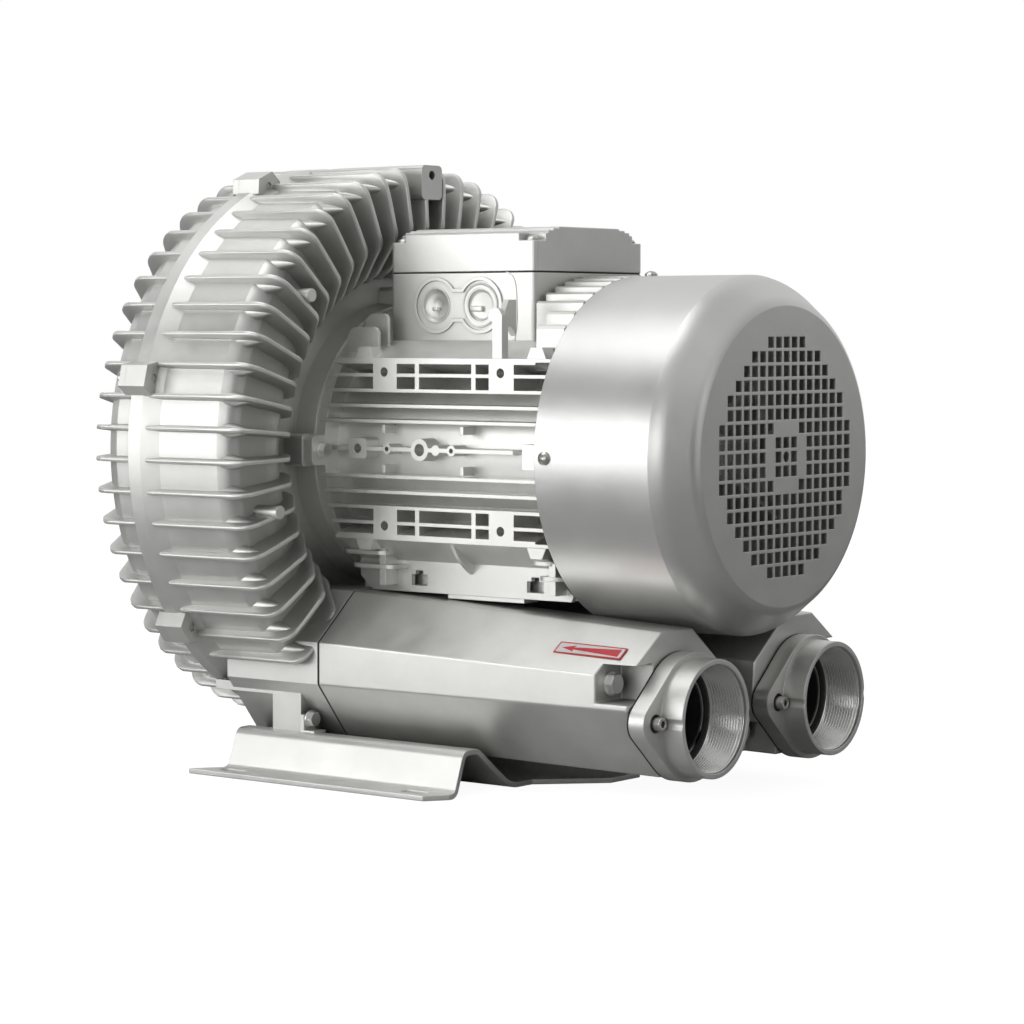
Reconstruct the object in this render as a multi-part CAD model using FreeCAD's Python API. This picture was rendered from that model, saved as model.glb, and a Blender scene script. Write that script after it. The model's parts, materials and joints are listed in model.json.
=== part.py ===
import FreeCAD, Part
import math
import os

# Side channel blower with its motor, in millimetres.
# Every shape is built with x measured from the split plane between the cover and the
# housing, +X towards the fan end, z measured from the floor. save() moves the shapes so
# that the centre of the foot slots lies at the origin.

# Casing
SHAFT_HEIGHT = 240.0
CHANNEL_OUTER = 197.5
CHANNEL_INNER = 127.0
CASING_WALL = 9.5
BAND_HEIGHT = 6.0
STRIP_LENGTH = 12.0
BAND_LENGTH = 26.5
HOUSING_DEPTH = 96.0
COVER_DEPTH = 50.0
CASING_FLOOR = 8.0
RIB_COUNT = 56
RIB_THICKNESS = 3.0
RIB_FIRST_ANGLE = 4.74
LUG_ANGLES = (67.5, 14.5, -38.0, 112.5, 165.5, 218.0, 270.0)
LUG_RADIUS = 213.0
LUG_WIDTH = 26.0
LUG_FRONT = 20.5
LUG_BACK = 6.0
PIN_ANGLES = (38.9, -13.5, 141.1, 193.5)
PIN_RADIUS = 181.0
PIN_SIZE = 4.8

# Impeller
IMPELLER_GAP = 1.0
IMPELLER_WIDTH = 46.0
BLADE_COUNT = 40
BLADE_THICKNESS = 2.4
HUB_RADIUS = 36.0
HUB_LENGTH = 42.0
WEB_THICKNESS = 7.0

# Shaft and bearings
SHAFT_NOSE = 14.0
SHAFT_SEAL_SIZE = 20.0
SHAFT_CORE = 24.0
SHAFT_FAN_SEAT = 17.5
SHAFT_FAN_END = 15.0
DRIVE_BEARING = dict(bore=20.0, outer=40.0, width=18.0, ball=6.0, balls=9)
FAN_BEARING = dict(bore=17.5, outer=36.0, width=17.0, ball=5.5, balls=9)
BALL_GAP = 0.15
RUNNING_GAP = 0.3
SEAT_GAP = 0.3
SEAL_OUTER = 27.5
SEAL_WIDTH = 8.0

# Motor
FLANGE_FACE = 88.0
FLANGE_BOLT_CIRCLE = 109.0
FLANGE_THICKNESS = 9.0
BOSS_RADIUS = 124.0
RECESS_DEPTH = 18.0
SEAT_RADIUS = 107.5
FRAME_BORE = 83.0
FRAME_WALL = 8.0
FRAME_LENGTH = 212.0
FIN_TIP = 105.0
FIN_THICKNESS = 2.6
FIN_PITCH = 11.2
FIN_CIRCLE = 127.5
SIDE_LIFT = 2.0
AIR_GAP = 0.7
STATOR_BORE = 58.0
CORE_START = 126.0
CORE_LENGTH = 140.0
SLOT_COUNT = 24

# Fan cowl
COWL_START = 307.6
COWL_RADIUS = 127.3
COWL_LENGTH = 125.0
COWL_SHEET = 1.6
COWL_FACE_RADIUS = 105.6
GRILLE_PITCH = 10.0
GRILLE_HOLE = 7.7
GRILLE_ROWS = (8, 8, 8, 7, 7, 6, 5, 4, 2)
FAN_RADIUS = 112.0
FAN_BLADES = 9

# Terminal box
BOX_START = 127.3
BOX_LENGTH = 134.7
BOX_HALF_WIDTH = 66.2
BOX_SKIRT = 80.7
BOX_SPLIT = 129.6
BOX_TOP = 163.0
BOX_LEDGE = 152.7
LID_NOTCH = (14.4, 13.2)
LID_STEPS = ((0.0, 5.5), (16.7, 7.6), (22.5, 9.1))
LID_CREST_INSET = 29.7
BOX_WALL = 4.0
KNOCKOUTS = (171.3, 212.4)
HOOK_START = 252.8
HOOK_END = 261.5
KNOCKOUT_RADIUS = 20.5
PLUG_RADIUS = 11.5
GASKET = 1.0

# Ports and silencers
PORT_SPREAD = 76.1
PORT_HEIGHT = 62.6
PORT_FACE = 426.1
PORT_THREAD_RADIUS = 37.6
COLLAR_RADIUS = 41.3
PORT_FLANGE_BACK = 395.0
PORT_FLANGE_THICKNESS = 13.0
PORT_SCREW_OFFSET = 46.5
PORT_SCREW = (3.0, 4.7, 10.0)
PORT_SEAT_RADIUS = 6.2
SEAM = 117.0
SILENCER_WALL = 5.0
SEAM_SECTION = ((60.5, 70), (60.5, 101), (20, 136), (-18, 136), (-58, 101), (-59, 70), (-46, 26), (26, 26))
FRONT_SECTION = ((60.5, 71), (60.5, 94), (20, 122), (-18, 122), (-56, 92), (-59, 72), (-46, 22), (22, 22))
UPPER_BOLT = (43.0, 87.0)
LOWER_BOLT = (-38.0, 38.0)
POCKET_DEPTH = 27.0
LINER_TUBE_RADIUS = 28.0
LINER_TUBE_WALL = 1.5
LINER_GAP = 0.6
LABEL_CENTRE = 350.0
LABEL_SIZE = (57.0, 11.5, 0.3)
LABEL_LIFT = 0.3

# Base
SHEET = 4.0
BASE_HALF_WIDTH = 170.0
BEND_FOOT = 147.0
RIDGE_OUTER = 136.5
RIDGE_INNER = 122.0
RIDGE_HEIGHT = 33.0
VALLEY = 84.0
BASE_REAR = 17.0
BASE_FRONT = 254.0
BASE_NOSE = 295.0
SLOT_REAR = 52.0
SLOT_FRONT = 226.0
SLOT_SPREAD = 158.0
SLOT_WIDTH = 10.0
SLOT_LENGTH = 24.0
FOOT_START = 66.0
FOOT_LENGTH = 28.0
FOOT_BOLT_OFFSET = 124.5
FOOT_BOLT_HEIGHT = 42.5
FOOT_OUTER = 130.0
FOOT_INNER = 104.0
FOOT_TOP = 66.0

# Screws: shank radius, head radius, head height
M5 = (2.5, 4.7, 3.6)
M6 = (3.0, 5.0, 6.0)
M8 = (4.0, 6.5, 8.0)
M8_HEX = (4.0, 7.5, 5.3)
M6_HEX = (3.0, 5.75, 4.2)
HOLE_FIT = 0.1
CLEARANCE = 0.5

# Sizes that follow from the ones above
CASING_ROOT = CHANNEL_OUTER + CASING_WALL
CASING_RADIUS = CASING_ROOT + BAND_HEIGHT
RIB_CREST = CASING_RADIUS - 0.5
CHANNEL_MIDDLE = (CHANNEL_OUTER + CHANNEL_INNER) / 2
POCKET_END = IMPELLER_WIDTH + 2 * IMPELLER_GAP
IMPELLER_RADIUS = CHANNEL_OUTER - IMPELLER_GAP - 0.5
FLOOR_BACK = POCKET_END + 1 + CASING_FLOOR
FRAME_OUTER = FRAME_BORE + FRAME_WALL
FRAME_END = FLANGE_FACE + FRAME_LENGTH
SHIELD_RADIUS = 104.0
SHIELD_FACE = FLANGE_FACE - 8.0
DRIVE_BEARING_START = FLANGE_FACE - 4.0
FAN_BEARING_START = FRAME_END - 10.0
CORE_END = CORE_START + CORE_LENGTH
ROTOR_RADIUS = STATOR_BORE - AIR_GAP
COWL_FACE = COWL_START + COWL_LENGTH
SIDE_HEIGHT = SHAFT_HEIGHT + SIDE_LIFT
BOX_END = BOX_START + BOX_LENGTH
FEET_CENTRE = (SLOT_REAR + SLOT_FRONT) / 2
SHAFT_TIP = FRAME_END + 78.0
FAN_START = FRAME_END + 26.0


def vec(x, y, z):
    return FreeCAD.Vector(x, y, z)


def outline(path, place):
    """Closed face: each step is a point, or a pair (point on the arc, arc end)."""
    edges = []
    here = place(*path[0])
    for step in list(path[1:]) + [path[0]]:
        if isinstance(step[0], tuple):
            end = place(*step[1])
            edges.append(Part.Arc(here, place(*step[0]), end).toShape())
        else:
            end = place(*step)
            if (end - here).Length > 1e-6:
                edges.append(Part.LineSegment(here, end).toShape())
        here = end
    return Part.Face(Part.Wire(edges))


def spin(path):
    """Body of revolution about the shaft axis from (x, radius) steps."""
    face = outline(path, lambda x, r: vec(x, 0, SHAFT_HEIGHT + r))
    return face.revolve(vec(0, 0, SHAFT_HEIGHT), vec(1, 0, 0), 360)


def ring(x0, x1, outer, inner=0.0):
    body = Part.makeCylinder(outer, x1 - x0, vec(x0, 0, SHAFT_HEIGHT), vec(1, 0, 0))
    if inner > 0:
        body = body.cut(Part.makeCylinder(inner, x1 - x0, vec(x0, 0, SHAFT_HEIGHT), vec(1, 0, 0)))
    return body


def plate_x(points, x0, x1):
    face = outline(points, lambda y, z: vec(x0, y, z))
    return face.extrude(vec(x1 - x0, 0, 0))


def plate_y(points, y0, y1):
    face = outline(points, lambda x, z: vec(x, y0, z))
    return face.extrude(vec(0, y1 - y0, 0))


def rib_plate(path):
    """Radial rib at the top of the casing from (x, radius) steps."""
    face = outline(path, lambda x, r: vec(x, -RIB_THICKNESS / 2, SHAFT_HEIGHT + r))
    return face.extrude(vec(0, RIB_THICKNESS, 0))


def plate_z(points, z0, z1):
    face = outline(points, lambda x, y: vec(x, y, z0))
    return face.extrude(vec(0, 0, z1 - z0))


def box(x0, x1, y0, y1, z0, z1):
    return Part.makeBox(x1 - x0, y1 - y0, z1 - z0, vec(x0, y0, z0))


def rod(start, direction, radius, length):
    return Part.makeCylinder(radius, length, vec(*start), vec(*direction))


def rod_x(x0, x1, y, z, radius):
    return rod((x0, y, z), (1, 0, 0), radius, x1 - x0)


def turned(shape, angle):
    """Copy turned from the top of the casing to an angle counted from -Y upwards."""
    copy = shape.copy()
    copy.rotate(vec(0, 0, SHAFT_HEIGHT), vec(1, 0, 0), 90 - angle)
    return copy


def both_sides(shapes):
    mirrored = [shape.mirror(vec(0, 0, 0), vec(0, 1, 0)) for shape in shapes]
    return list(shapes) + mirrored


def rounded_box(x0, x1, y0, y1, z0, z1, radius, axis):
    """Box whose edges along the axis are rounded."""
    solid = box(x0, x1, y0, y1, z0, z1)
    size = {"x": x1 - x0, "y": y1 - y0, "z": z1 - z0}[axis]
    picked = []
    for edge in solid.Edges:
        along = edge.tangentAt(edge.FirstParameter)
        part = {"x": along.x, "y": along.y, "z": along.z}[axis]
        if abs(abs(part) - 1) < 1e-6 and abs(edge.Length - size) < 1e-6:
            picked.append(edge)
    return solid.makeFillet(radius, picked)


def hexagon(start, direction, across_flats, height):
    """Hexagonal prism standing on a point."""
    corner = across_flats / math.sqrt(3)
    points = []
    for k in range(7):
        angle = math.radians(60 * k + 30)
        points.append(vec(corner * math.cos(angle), corner * math.sin(angle), 0))
    solid = Part.Face(Part.makePolygon(points)).extrude(vec(0, 0, height))
    chamfer = Part.makeCone(corner + height * 0.9, corner * 0.86, height, vec(0, 0, 0), vec(0, 0, 1))
    solid = solid.common(chamfer)
    solid.Placement = FreeCAD.Placement(vec(*start), FreeCAD.Rotation(vec(0, 0, 1), vec(*direction)))
    return solid


def socket_screw(seat, direction, size, length):
    """Socket head screw: the head stands on the seat, the shank goes into the work."""
    shank, head, height = size
    toward = vec(*direction)
    start = vec(*seat)
    body = Part.makeCylinder(head, height, start, toward)
    body = body.makeFillet(0.6, [body.Edges[0]])
    body = body.fuse(Part.makeCylinder(shank, length, start - toward * length, toward))
    socket = hexagon(tuple(start + toward * (height * 0.45)), direction, shank * 1.5, height)
    return body.cut(socket)


def hex_screw(seat, direction, size, length, washer=1.6):
    """Hex head screw with a fixed washer face under its head."""
    shank, half_flats, height = size
    toward = vec(*direction)
    start = vec(*seat)
    body = Part.makeCylinder(half_flats * 1.1, washer, start, toward)
    body = body.fuse(hexagon(tuple(start + toward * washer), direction, 2 * half_flats * 0.87, height))
    return body.fuse(Part.makeCylinder(shank, length, start - toward * length, toward))


def pan_screw(seat, direction, size, length):
    """Pan head screw with a cross recess."""
    shank, head, height = size
    toward = vec(*direction)
    start = vec(*seat)
    dome = Part.makeSphere(head * 1.25, start + toward * (height - head * 1.25))
    body = Part.makeCylinder(head, height, start, toward).common(dome)
    body = body.fuse(Part.makeCylinder(shank, length, start - toward * length, toward))
    place = FreeCAD.Placement(start + toward * (height * 0.5), FreeCAD.Rotation(vec(0, 0, 1), toward))
    for long_side, short_side in ((head * 1.1, head * 0.22), (head * 0.22, head * 1.1)):
        slot = Part.makeBox(long_side, short_side, height, vec(-long_side / 2, -short_side / 2, 0))
        slot.Placement = place.multiply(slot.Placement)
        body = body.cut(slot)
    return body


def section(points, side):
    """Duct section points (offset from the port, height) as (y, z) for one side."""
    return [(side * (PORT_SPREAD + u), z) for u, z in points]


def section_wire(points, side, x, inset=0.0):
    corners = [vec(x, y, z) for y, z in section(points, side)]
    wire = Part.makePolygon(corners + [corners[0]])
    if inset > 0:
        wire = wire.makeOffset2D(-inset, 2)
    return wire


def bolt_places(side):
    """(y, z) of the two long silencer bolts of one side."""
    return [(side * (PORT_SPREAD + u), z) for u, z in (UPPER_BOLT, LOWER_BOLT)]


def bolt_posts(side, x0, x1, radius):
    """Posts for the long bolts, joined to the outer wall of the duct."""
    posts = [rod_x(x0, x1, y, z, radius) for y, z in bolt_places(side)]
    for (y, z), reach in zip(bolt_places(side), (20, -20)):
        span = sorted((y, y + side * reach))
        posts.append(box(x0, x1, *span, z - radius, z + radius))
    return posts


def flange_bolt_places():
    """(y, z) of the motor flange bolts."""
    places = []
    for quarter in range(4):
        angle = math.radians(90 * quarter)
        places.append((-FLANGE_BOLT_CIRCLE * math.cos(angle),
                       SHAFT_HEIGHT + FLANGE_BOLT_CIRCLE * math.sin(angle)))
    return places


def rib_angles(limit):
    """Rib angles, leaving out those within the limit of the bottom of the casing."""
    angles = []
    for k in range(RIB_COUNT):
        angle = RIB_FIRST_ANGLE + 360.0 * k / RIB_COUNT
        below = abs((angle - 270 + 180) % 360 - 180)
        if below > limit:
            angles.append(angle)
    return angles


def lug(x0, x1):
    """Screw lug at the top of the casing between two planes."""
    half = LUG_WIDTH / 2
    low = SHAFT_HEIGHT + CASING_ROOT - 7
    side = SHAFT_HEIGHT + LUG_RADIUS - 1
    top = SHAFT_HEIGHT + LUG_RADIUS + 9
    return plate_x([(4 - half, low), (half - 4, low), (half, side), (half - 5, top), (5 - half, top),
                    (-half, side)], x0, x1)


def stripper(x0, x1, bevel):
    """Block that closes the side channel between the two ducts, bevelled at its inner front edge."""
    low = SHAFT_HEIGHT - CHANNEL_OUTER - 2
    high = SHAFT_HEIGHT - CHANNEL_INNER + 2
    return plate_y([(x0, low), (x1, low), (x1, high - bevel), (x1 - bevel, high), (x0, high)], -24, 24)


def impeller_housing():
    wall_foot = CHANNEL_INNER - 1
    back = HOUSING_DEPTH
    recess = FLANGE_FACE - RECESS_DEPTH
    middle = CHANNEL_MIDDLE
    body = spin([
        (0, CHANNEL_OUTER), (0, CASING_RADIUS), (STRIP_LENGTH, CASING_RADIUS), (BAND_LENGTH, CASING_ROOT + 0.5),
        (back - 14, CASING_ROOT - 0.5), ((back - 8, CASING_ROOT - 3.5), (back - 2.5, CASING_ROOT - 12.5)),
        (back, middle + 7), ((back - 3.5, middle - 9), (back - 14, middle - 21)),
        (recess + 4, BOSS_RADIUS + 9), (recess, BOSS_RADIUS + 5), (recess, SEAT_RADIUS + 2),
        (FLANGE_FACE, SEAT_RADIUS), (FLANGE_FACE, SHIELD_RADIUS), (SHIELD_FACE, SHIELD_RADIUS),
        (SHIELD_FACE, SHIELD_RADIUS - 5), (FLOOR_BACK, SHIELD_RADIUS - 5), (FLOOR_BACK, HUB_RADIUS + 10),
        (POCKET_END + 1, HUB_RADIUS + 10), (POCKET_END + 1, SHIELD_RADIUS), (POCKET_END, SHIELD_RADIUS),
        (POCKET_END, CHANNEL_INNER), (POCKET_END + 10, wall_foot),
        ((back - 16, middle), (POCKET_END + 10, CHANNEL_OUTER)),
    ])
    crest = RIB_CREST
    rib = rib_plate([
        (17, CASING_ROOT - 4), (17, crest - 2.5), (19.5, crest), (back + 5, crest - 0.3),
        ((back + 12, crest - 4), (back + 15.5, crest - 10.5)), (back + 17, middle + 8),
        ((back + 15, middle - 1.5), (back + 12, middle - 5)), (back - 7, middle - 26), (back - 20, middle - 34),
        (back - 28, middle - 34), (back - 25, middle - 29), (back - 14.5, middle - 14), (back - 8, middle + 3),
        (back - 10, middle + 20), (back - 16, CASING_ROOT - 12), (back - 34, CASING_ROOT - 4)])
    parts = [turned(rib, angle) for angle in rib_angles(42)]
    for angle in LUG_ANGLES:
        parts.append(turned(lug(0, LUG_FRONT), angle))
    pin = rod_x(back - 18, back + 20, 0, SHAFT_HEIGHT + PIN_RADIUS, PIN_SIZE)
    parts += [turned(pin, angle) for angle in PIN_ANGLES]
    stand = rounded_box(recess - 4, FLANGE_FACE, -12, 12, SHAFT_HEIGHT + SHIELD_RADIUS + 1,
                        SHAFT_HEIGHT + BOSS_RADIUS - 3, 3, "x")
    parts += [turned(stand, 90 * quarter) for quarter in range(4)]
    boss_low = SHAFT_HEIGHT + CASING_ROOT - 20
    boss_high = SHAFT_HEIGHT + CASING_RADIUS
    boss = rounded_box(BAND_LENGTH, back + 17, -12, 12, boss_low, boss_high, 4, "x")
    parts.append(boss)
    ducts = [plate_x(section(SEAM_SECTION, side), BAND_LENGTH, SEAM - GASKET) for side in (-1, 1)]
    parts += ducts
    parts.append(stripper(POCKET_END, back - 14, 16))
    bar = box(BAND_LENGTH - 18, FOOT_START + 1, -FOOT_OUTER, -FOOT_INNER, FOOT_TOP - 7, FOOT_TOP)
    foot = box(FOOT_START, FOOT_START + FOOT_LENGTH, -FOOT_OUTER, -FOOT_INNER, RIDGE_HEIGHT, FOOT_TOP)
    parts += both_sides([bar, foot])
    body = body.multiFuse(parts)
    cuts = [ring(-1, POCKET_END, CHANNEL_OUTER)]
    for side in (-1, 1):
        section_face = Part.Face(section_wire(SEAM_SECTION, side, FLOOR_BACK + 4, SILENCER_WALL + 1))
        passage = section_face.extrude(vec(SEAM - FLOOR_BACK, 0, 0))
        posts = bolt_posts(side, FLOOR_BACK, SEAM + 9, 9)
        posts.append(ring(FLOOR_BACK, FLANGE_FACE, BOSS_RADIUS + 2))
        cuts.append(passage.cut(posts[0].multiFuse(posts[1:])))
        for y, z in bolt_places(side):
            cuts.append(rod_x(SEAM - 25, SEAM + 1, y, z, M8[0] + HOLE_FIT))
        foot_end = FOOT_START + FOOT_LENGTH
        cuts.append(rod_x(foot_end - 17, foot_end + 1, side * FOOT_BOLT_OFFSET, FOOT_BOLT_HEIGHT, M6[0] + HOLE_FIT))
    for angle in LUG_ANGLES:
        cuts.append(turned(rod_x(-1, LUG_FRONT + 1, 0, SHAFT_HEIGHT + LUG_RADIUS, M6[0] + HOLE_FIT), angle))
    for y, z in flange_bolt_places():
        cuts.append(rod_x(FLANGE_FACE - 18, FLANGE_FACE + 1, y, z, M6[0] + HOLE_FIT))
    cuts.append(rod_x(back - 14, back + 18, 0, SHAFT_HEIGHT + CASING_ROOT - 1.5, 3.4))
    return body.cut(cuts[0].multiFuse(cuts[1:]))


def impeller_cover():
    back = -COVER_DEPTH
    wall_foot = CHANNEL_INNER - 1
    body = spin([
        (0, CHANNEL_OUTER), (0, CASING_ROOT), (back + 32, CASING_ROOT - 0.5),
        ((back + 17, CASING_ROOT - 9), (back + 9, CASING_ROOT - 27)), (back, CHANNEL_MIDDLE - 7),
        ((back + 2, CHANNEL_INNER + 4), (back + 20, CHANNEL_INNER - 8)), (back + 33, CHANNEL_INNER - 12),
        (back + 33, 0), (-9, 0), (-9, SHIELD_RADIUS - 6), (0, SHIELD_RADIUS), (0, CHANNEL_INNER),
        (-8, wall_foot), ((back + 14, CHANNEL_MIDDLE), (-8, CHANNEL_OUTER)),
    ])
    crest = RIB_CREST
    middle = CHANNEL_MIDDLE
    rib = rib_plate([
        (0, CASING_ROOT - 4), (0, crest), (back + 21, crest), ((back + 12.5, crest - 4.5), (back + 7, crest - 14)),
        (back - 5, middle - 2), (back - 8, middle - 22), ((back - 5, middle - 38), (back + 6, middle - 52)),
        (back + 14, middle - 59), (back + 34, middle - 62), (back + 37, middle - 58), (back + 22, middle - 38),
        (back + 8, middle - 27), (back + 7, middle - 2), (back + 14, middle + 22), (back + 30, CASING_ROOT - 5)])
    parts = [turned(rib, angle) for angle in rib_angles(0)]
    parts += [turned(lug(-LUG_BACK, 0), angle) for angle in LUG_ANGLES]
    parts.append(stripper(back + 6, 0, 0))
    body = body.multiFuse(parts)
    holes = [rod_x(-LUG_BACK - 8, 1, 0, SHAFT_HEIGHT + LUG_RADIUS, M6[0] + CLEARANCE)]
    seat = [rod_x(-LUG_BACK - 40, -LUG_BACK, 0, SHAFT_HEIGHT + LUG_RADIUS, M6[1] + 1)]
    cuts = [turned(shape, angle) for shape in holes + seat for angle in LUG_ANGLES]
    return body.cut(cuts[0].multiFuse(cuts[1:]))


def cover_screws():
    seat = (-LUG_BACK, 0, SHAFT_HEIGHT + LUG_RADIUS)
    screw = socket_screw(seat, (-1, 0, 0), M6, LUG_BACK + LUG_FRONT - 1)
    return [turned(screw, angle) for angle in LUG_ANGLES]


def impeller():
    start = IMPELLER_GAP
    end = start + IMPELLER_WIDTH
    middle = (start + end) / 2
    hub_start = end + IMPELLER_GAP + 3 - HUB_LENGTH
    web = WEB_THICKNESS / 2
    body = spin([
        (hub_start, SHAFT_NOSE), (hub_start, HUB_RADIUS), (middle - web, HUB_RADIUS + 6),
        (middle - web, CHANNEL_INNER - 4), (start, CHANNEL_INNER - 2), (start, CHANNEL_INNER + 5),
        (middle - 2, CHANNEL_MIDDLE), (middle - 2, IMPELLER_RADIUS), (middle + 2, IMPELLER_RADIUS),
        (middle + 2, CHANNEL_MIDDLE), (end, CHANNEL_INNER + 5), (end, CHANNEL_INNER - 2),
        (middle + web, CHANNEL_INNER - 4), (middle + web, HUB_RADIUS + 6), (hub_start + HUB_LENGTH, HUB_RADIUS),
        (hub_start + HUB_LENGTH, SHAFT_NOSE),
    ])
    low = SHAFT_HEIGHT + CHANNEL_INNER
    blade = box(start, end, -BLADE_THICKNESS / 2, BLADE_THICKNESS / 2, low, SHAFT_HEIGHT + IMPELLER_RADIUS)
    blades = [turned(blade, 90 + 360.0 * k / BLADE_COUNT) for k in range(BLADE_COUNT)]
    body = body.multiFuse(blades).common(ring(0, POCKET_END + 4, IMPELLER_RADIUS))
    keyway = box(hub_start - 1, hub_start + HUB_LENGTH + 1, -4, 4, SHAFT_HEIGHT + 10, SHAFT_HEIGHT + SHAFT_NOSE + 3.3)
    return body.cut(keyway)


def hub_front():
    return IMPELLER_GAP + IMPELLER_WIDTH + IMPELLER_GAP + 3 - HUB_LENGTH


def shaft():
    hub_end = hub_front() + HUB_LENGTH
    drive_end = DRIVE_BEARING_START + DRIVE_BEARING["width"]
    nose_start = hub_front() + 3
    body = spin([
        (nose_start, 0), (nose_start, SHAFT_NOSE), (hub_end, SHAFT_NOSE), (hub_end, SHAFT_SEAL_SIZE),
        (drive_end, SHAFT_SEAL_SIZE), (drive_end, SHAFT_CORE), (FAN_BEARING_START, SHAFT_CORE),
        (FAN_BEARING_START, SHAFT_FAN_SEAT), (FAN_BEARING_START + FAN_BEARING["width"] + 6, SHAFT_FAN_SEAT),
        (FAN_BEARING_START + FAN_BEARING["width"] + 6, SHAFT_FAN_END), (SHAFT_TIP, SHAFT_FAN_END), (SHAFT_TIP, 0),
    ])
    slot = box(nose_start + 4, hub_end - 4, -4, 4, SHAFT_HEIGHT + 10, SHAFT_HEIGHT + 20)
    fan_slot = box(FAN_START + 4, FAN_START + 26, -3, 3, SHAFT_HEIGHT + 11, SHAFT_HEIGHT + 20)
    groove = ring(FAN_START + 30.3, FAN_START + 32, SHAFT_FAN_END + 1, SHAFT_FAN_END - 1.2)
    thread = ring(nose_start - 1, nose_start + 26, M8[0] + 1 + HOLE_FIT)
    return body.cut(slot.multiFuse([fan_slot, groove, thread]))


def impeller_key():
    start = hub_front() + 7.2
    end = hub_front() + HUB_LENGTH - 4.2
    return rounded_box(start, end, -3.95, 3.95, SHAFT_HEIGHT + 10, SHAFT_HEIGHT + SHAFT_NOSE + 3, 3.9, "z")


def fan_key():
    return rounded_box(FAN_START + 4.2, FAN_START + 25.8, -2.95, 2.95, SHAFT_HEIGHT + 11,
                       SHAFT_HEIGHT + SHAFT_FAN_END + 2.5, 2.9, "z")


def impeller_washer():
    return ring(hub_front() - 4, hub_front(), HUB_RADIUS - 12, M8[0] + 1 + CLEARANCE)


def impeller_bolt():
    size = (M8[0] + 1, 8.5, 6.4)
    return hex_screw((hub_front() - 4, 0, SHAFT_HEIGHT), (-1, 0, 0), size, 26, 1.0)


def raceway(bearing):
    """Pitch radius of the balls and the groove radius of a bearing."""
    pitch = (bearing["bore"] + bearing["outer"]) / 2
    return pitch, bearing["ball"] + BALL_GAP


def bearing_outer(bearing, x0):
    pitch, groove = raceway(bearing)
    x1 = x0 + bearing["width"]
    middle = (x0 + x1) / 2
    inner = pitch + bearing["ball"] * 0.55
    reach = math.sqrt(groove ** 2 - (inner - pitch) ** 2)
    return spin([(x0, bearing["outer"]), (x0, inner), (middle - reach, inner),
                 ((middle, pitch + groove), (middle + reach, inner)), (x1, inner), (x1, bearing["outer"])])


def bearing_inner(bearing, x0):
    pitch, groove = raceway(bearing)
    x1 = x0 + bearing["width"]
    middle = (x0 + x1) / 2
    outer = pitch - bearing["ball"] * 0.55
    reach = math.sqrt(groove ** 2 - (pitch - outer) ** 2)
    return spin([(x0, bearing["bore"]), (x0, outer), (middle - reach, outer),
                 ((middle, pitch - groove), (middle + reach, outer)), (x1, outer), (x1, bearing["bore"])])


def bearing_balls(bearing, x0):
    pitch = raceway(bearing)[0]
    centre = vec(x0 + bearing["width"] / 2, 0, SHAFT_HEIGHT + pitch)
    ball = Part.makeSphere(bearing["ball"], centre)
    return [turned(ball, 90 + 360.0 * k / bearing["balls"]) for k in range(bearing["balls"])]


def bearing_cage(bearing, x0):
    pitch, groove = raceway(bearing)
    middle = x0 + bearing["width"] / 2
    body = ring(middle - bearing["ball"] - 1.5, middle + bearing["ball"] + 1.5, pitch + 1.4, pitch - 1.4)
    pocket = Part.makeSphere(groove, vec(middle, 0, SHAFT_HEIGHT + pitch))
    pockets = [turned(pocket, 90 + 360.0 * k / bearing["balls"]) for k in range(bearing["balls"])]
    return body.cut(pockets[0].multiFuse(pockets[1:]))


def drive_end_shield():
    seat = DRIVE_BEARING["outer"]
    start = DRIVE_BEARING_START
    end = start + DRIVE_BEARING["width"] + 1
    seal_start = start - SEAL_WIDTH - 3
    return spin([
        (seal_start, SEAL_OUTER), (seal_start, seat + 7), (SHIELD_FACE, seat + 9), (SHIELD_FACE, SHIELD_RADIUS - 0.05),
        (FLANGE_FACE, SHIELD_RADIUS - 0.05), (FLANGE_FACE, seat + 10), (end, seat + 8), (end, seat), (start, seat),
        (start, seat - 7), (start - 3, seat - 7), (start - 3, SEAL_OUTER),
    ])


def shaft_seal():
    start = DRIVE_BEARING_START - SEAL_WIDTH - 3
    lip = SHAFT_SEAL_SIZE + RUNNING_GAP
    return spin([(start, SEAL_OUTER), (start, lip + 2), (start + 1, lip), (start + 3, lip), (start + 4, lip + 4),
                 (start + SEAL_WIDTH, lip + 4), (start + SEAL_WIDTH, SEAL_OUTER)])


def rotor_core():
    return ring(CORE_START, CORE_END, ROTOR_RADIUS, SHAFT_CORE)


def rotor_end_rings():
    rings = []
    for x0, x1 in ((CORE_START - 10, CORE_START), (CORE_END, CORE_END + 10)):
        rings.append(ring(x0, x1, ROTOR_RADIUS - 2, SHAFT_CORE + 12))
    return rings


def stator_slots(clearance):
    slot = box(CORE_START - 1, CORE_END + 1, -2.6 + clearance, 2.6 - clearance,
               SHAFT_HEIGHT + STATOR_BORE + 3 + clearance, SHAFT_HEIGHT + STATOR_BORE + 18 - clearance)
    return [turned(slot, 90 + 360.0 * k / SLOT_COUNT) for k in range(SLOT_COUNT)]


def stator_core():
    body = ring(CORE_START, CORE_END, FRAME_BORE, STATOR_BORE)
    slots = stator_slots(0)
    return body.cut(slots[0].multiFuse(slots[1:]))


def stator_windings():
    inner = STATOR_BORE + 3
    outer = STATOR_BORE + 24
    heads = []
    for x0, x1 in ((CORE_START - 17, CORE_START - 0.5), (CORE_END + 0.5, CORE_END + 17)):
        head = ring(x0, x1, outer, inner)
        heads.append(head.makeFillet(5, [edge for edge in head.Edges if edge.Curve.TypeId == "Part::GeomCircle"]))
    return heads[0].multiFuse([heads[1]] + stator_slots(0.1))


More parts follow.
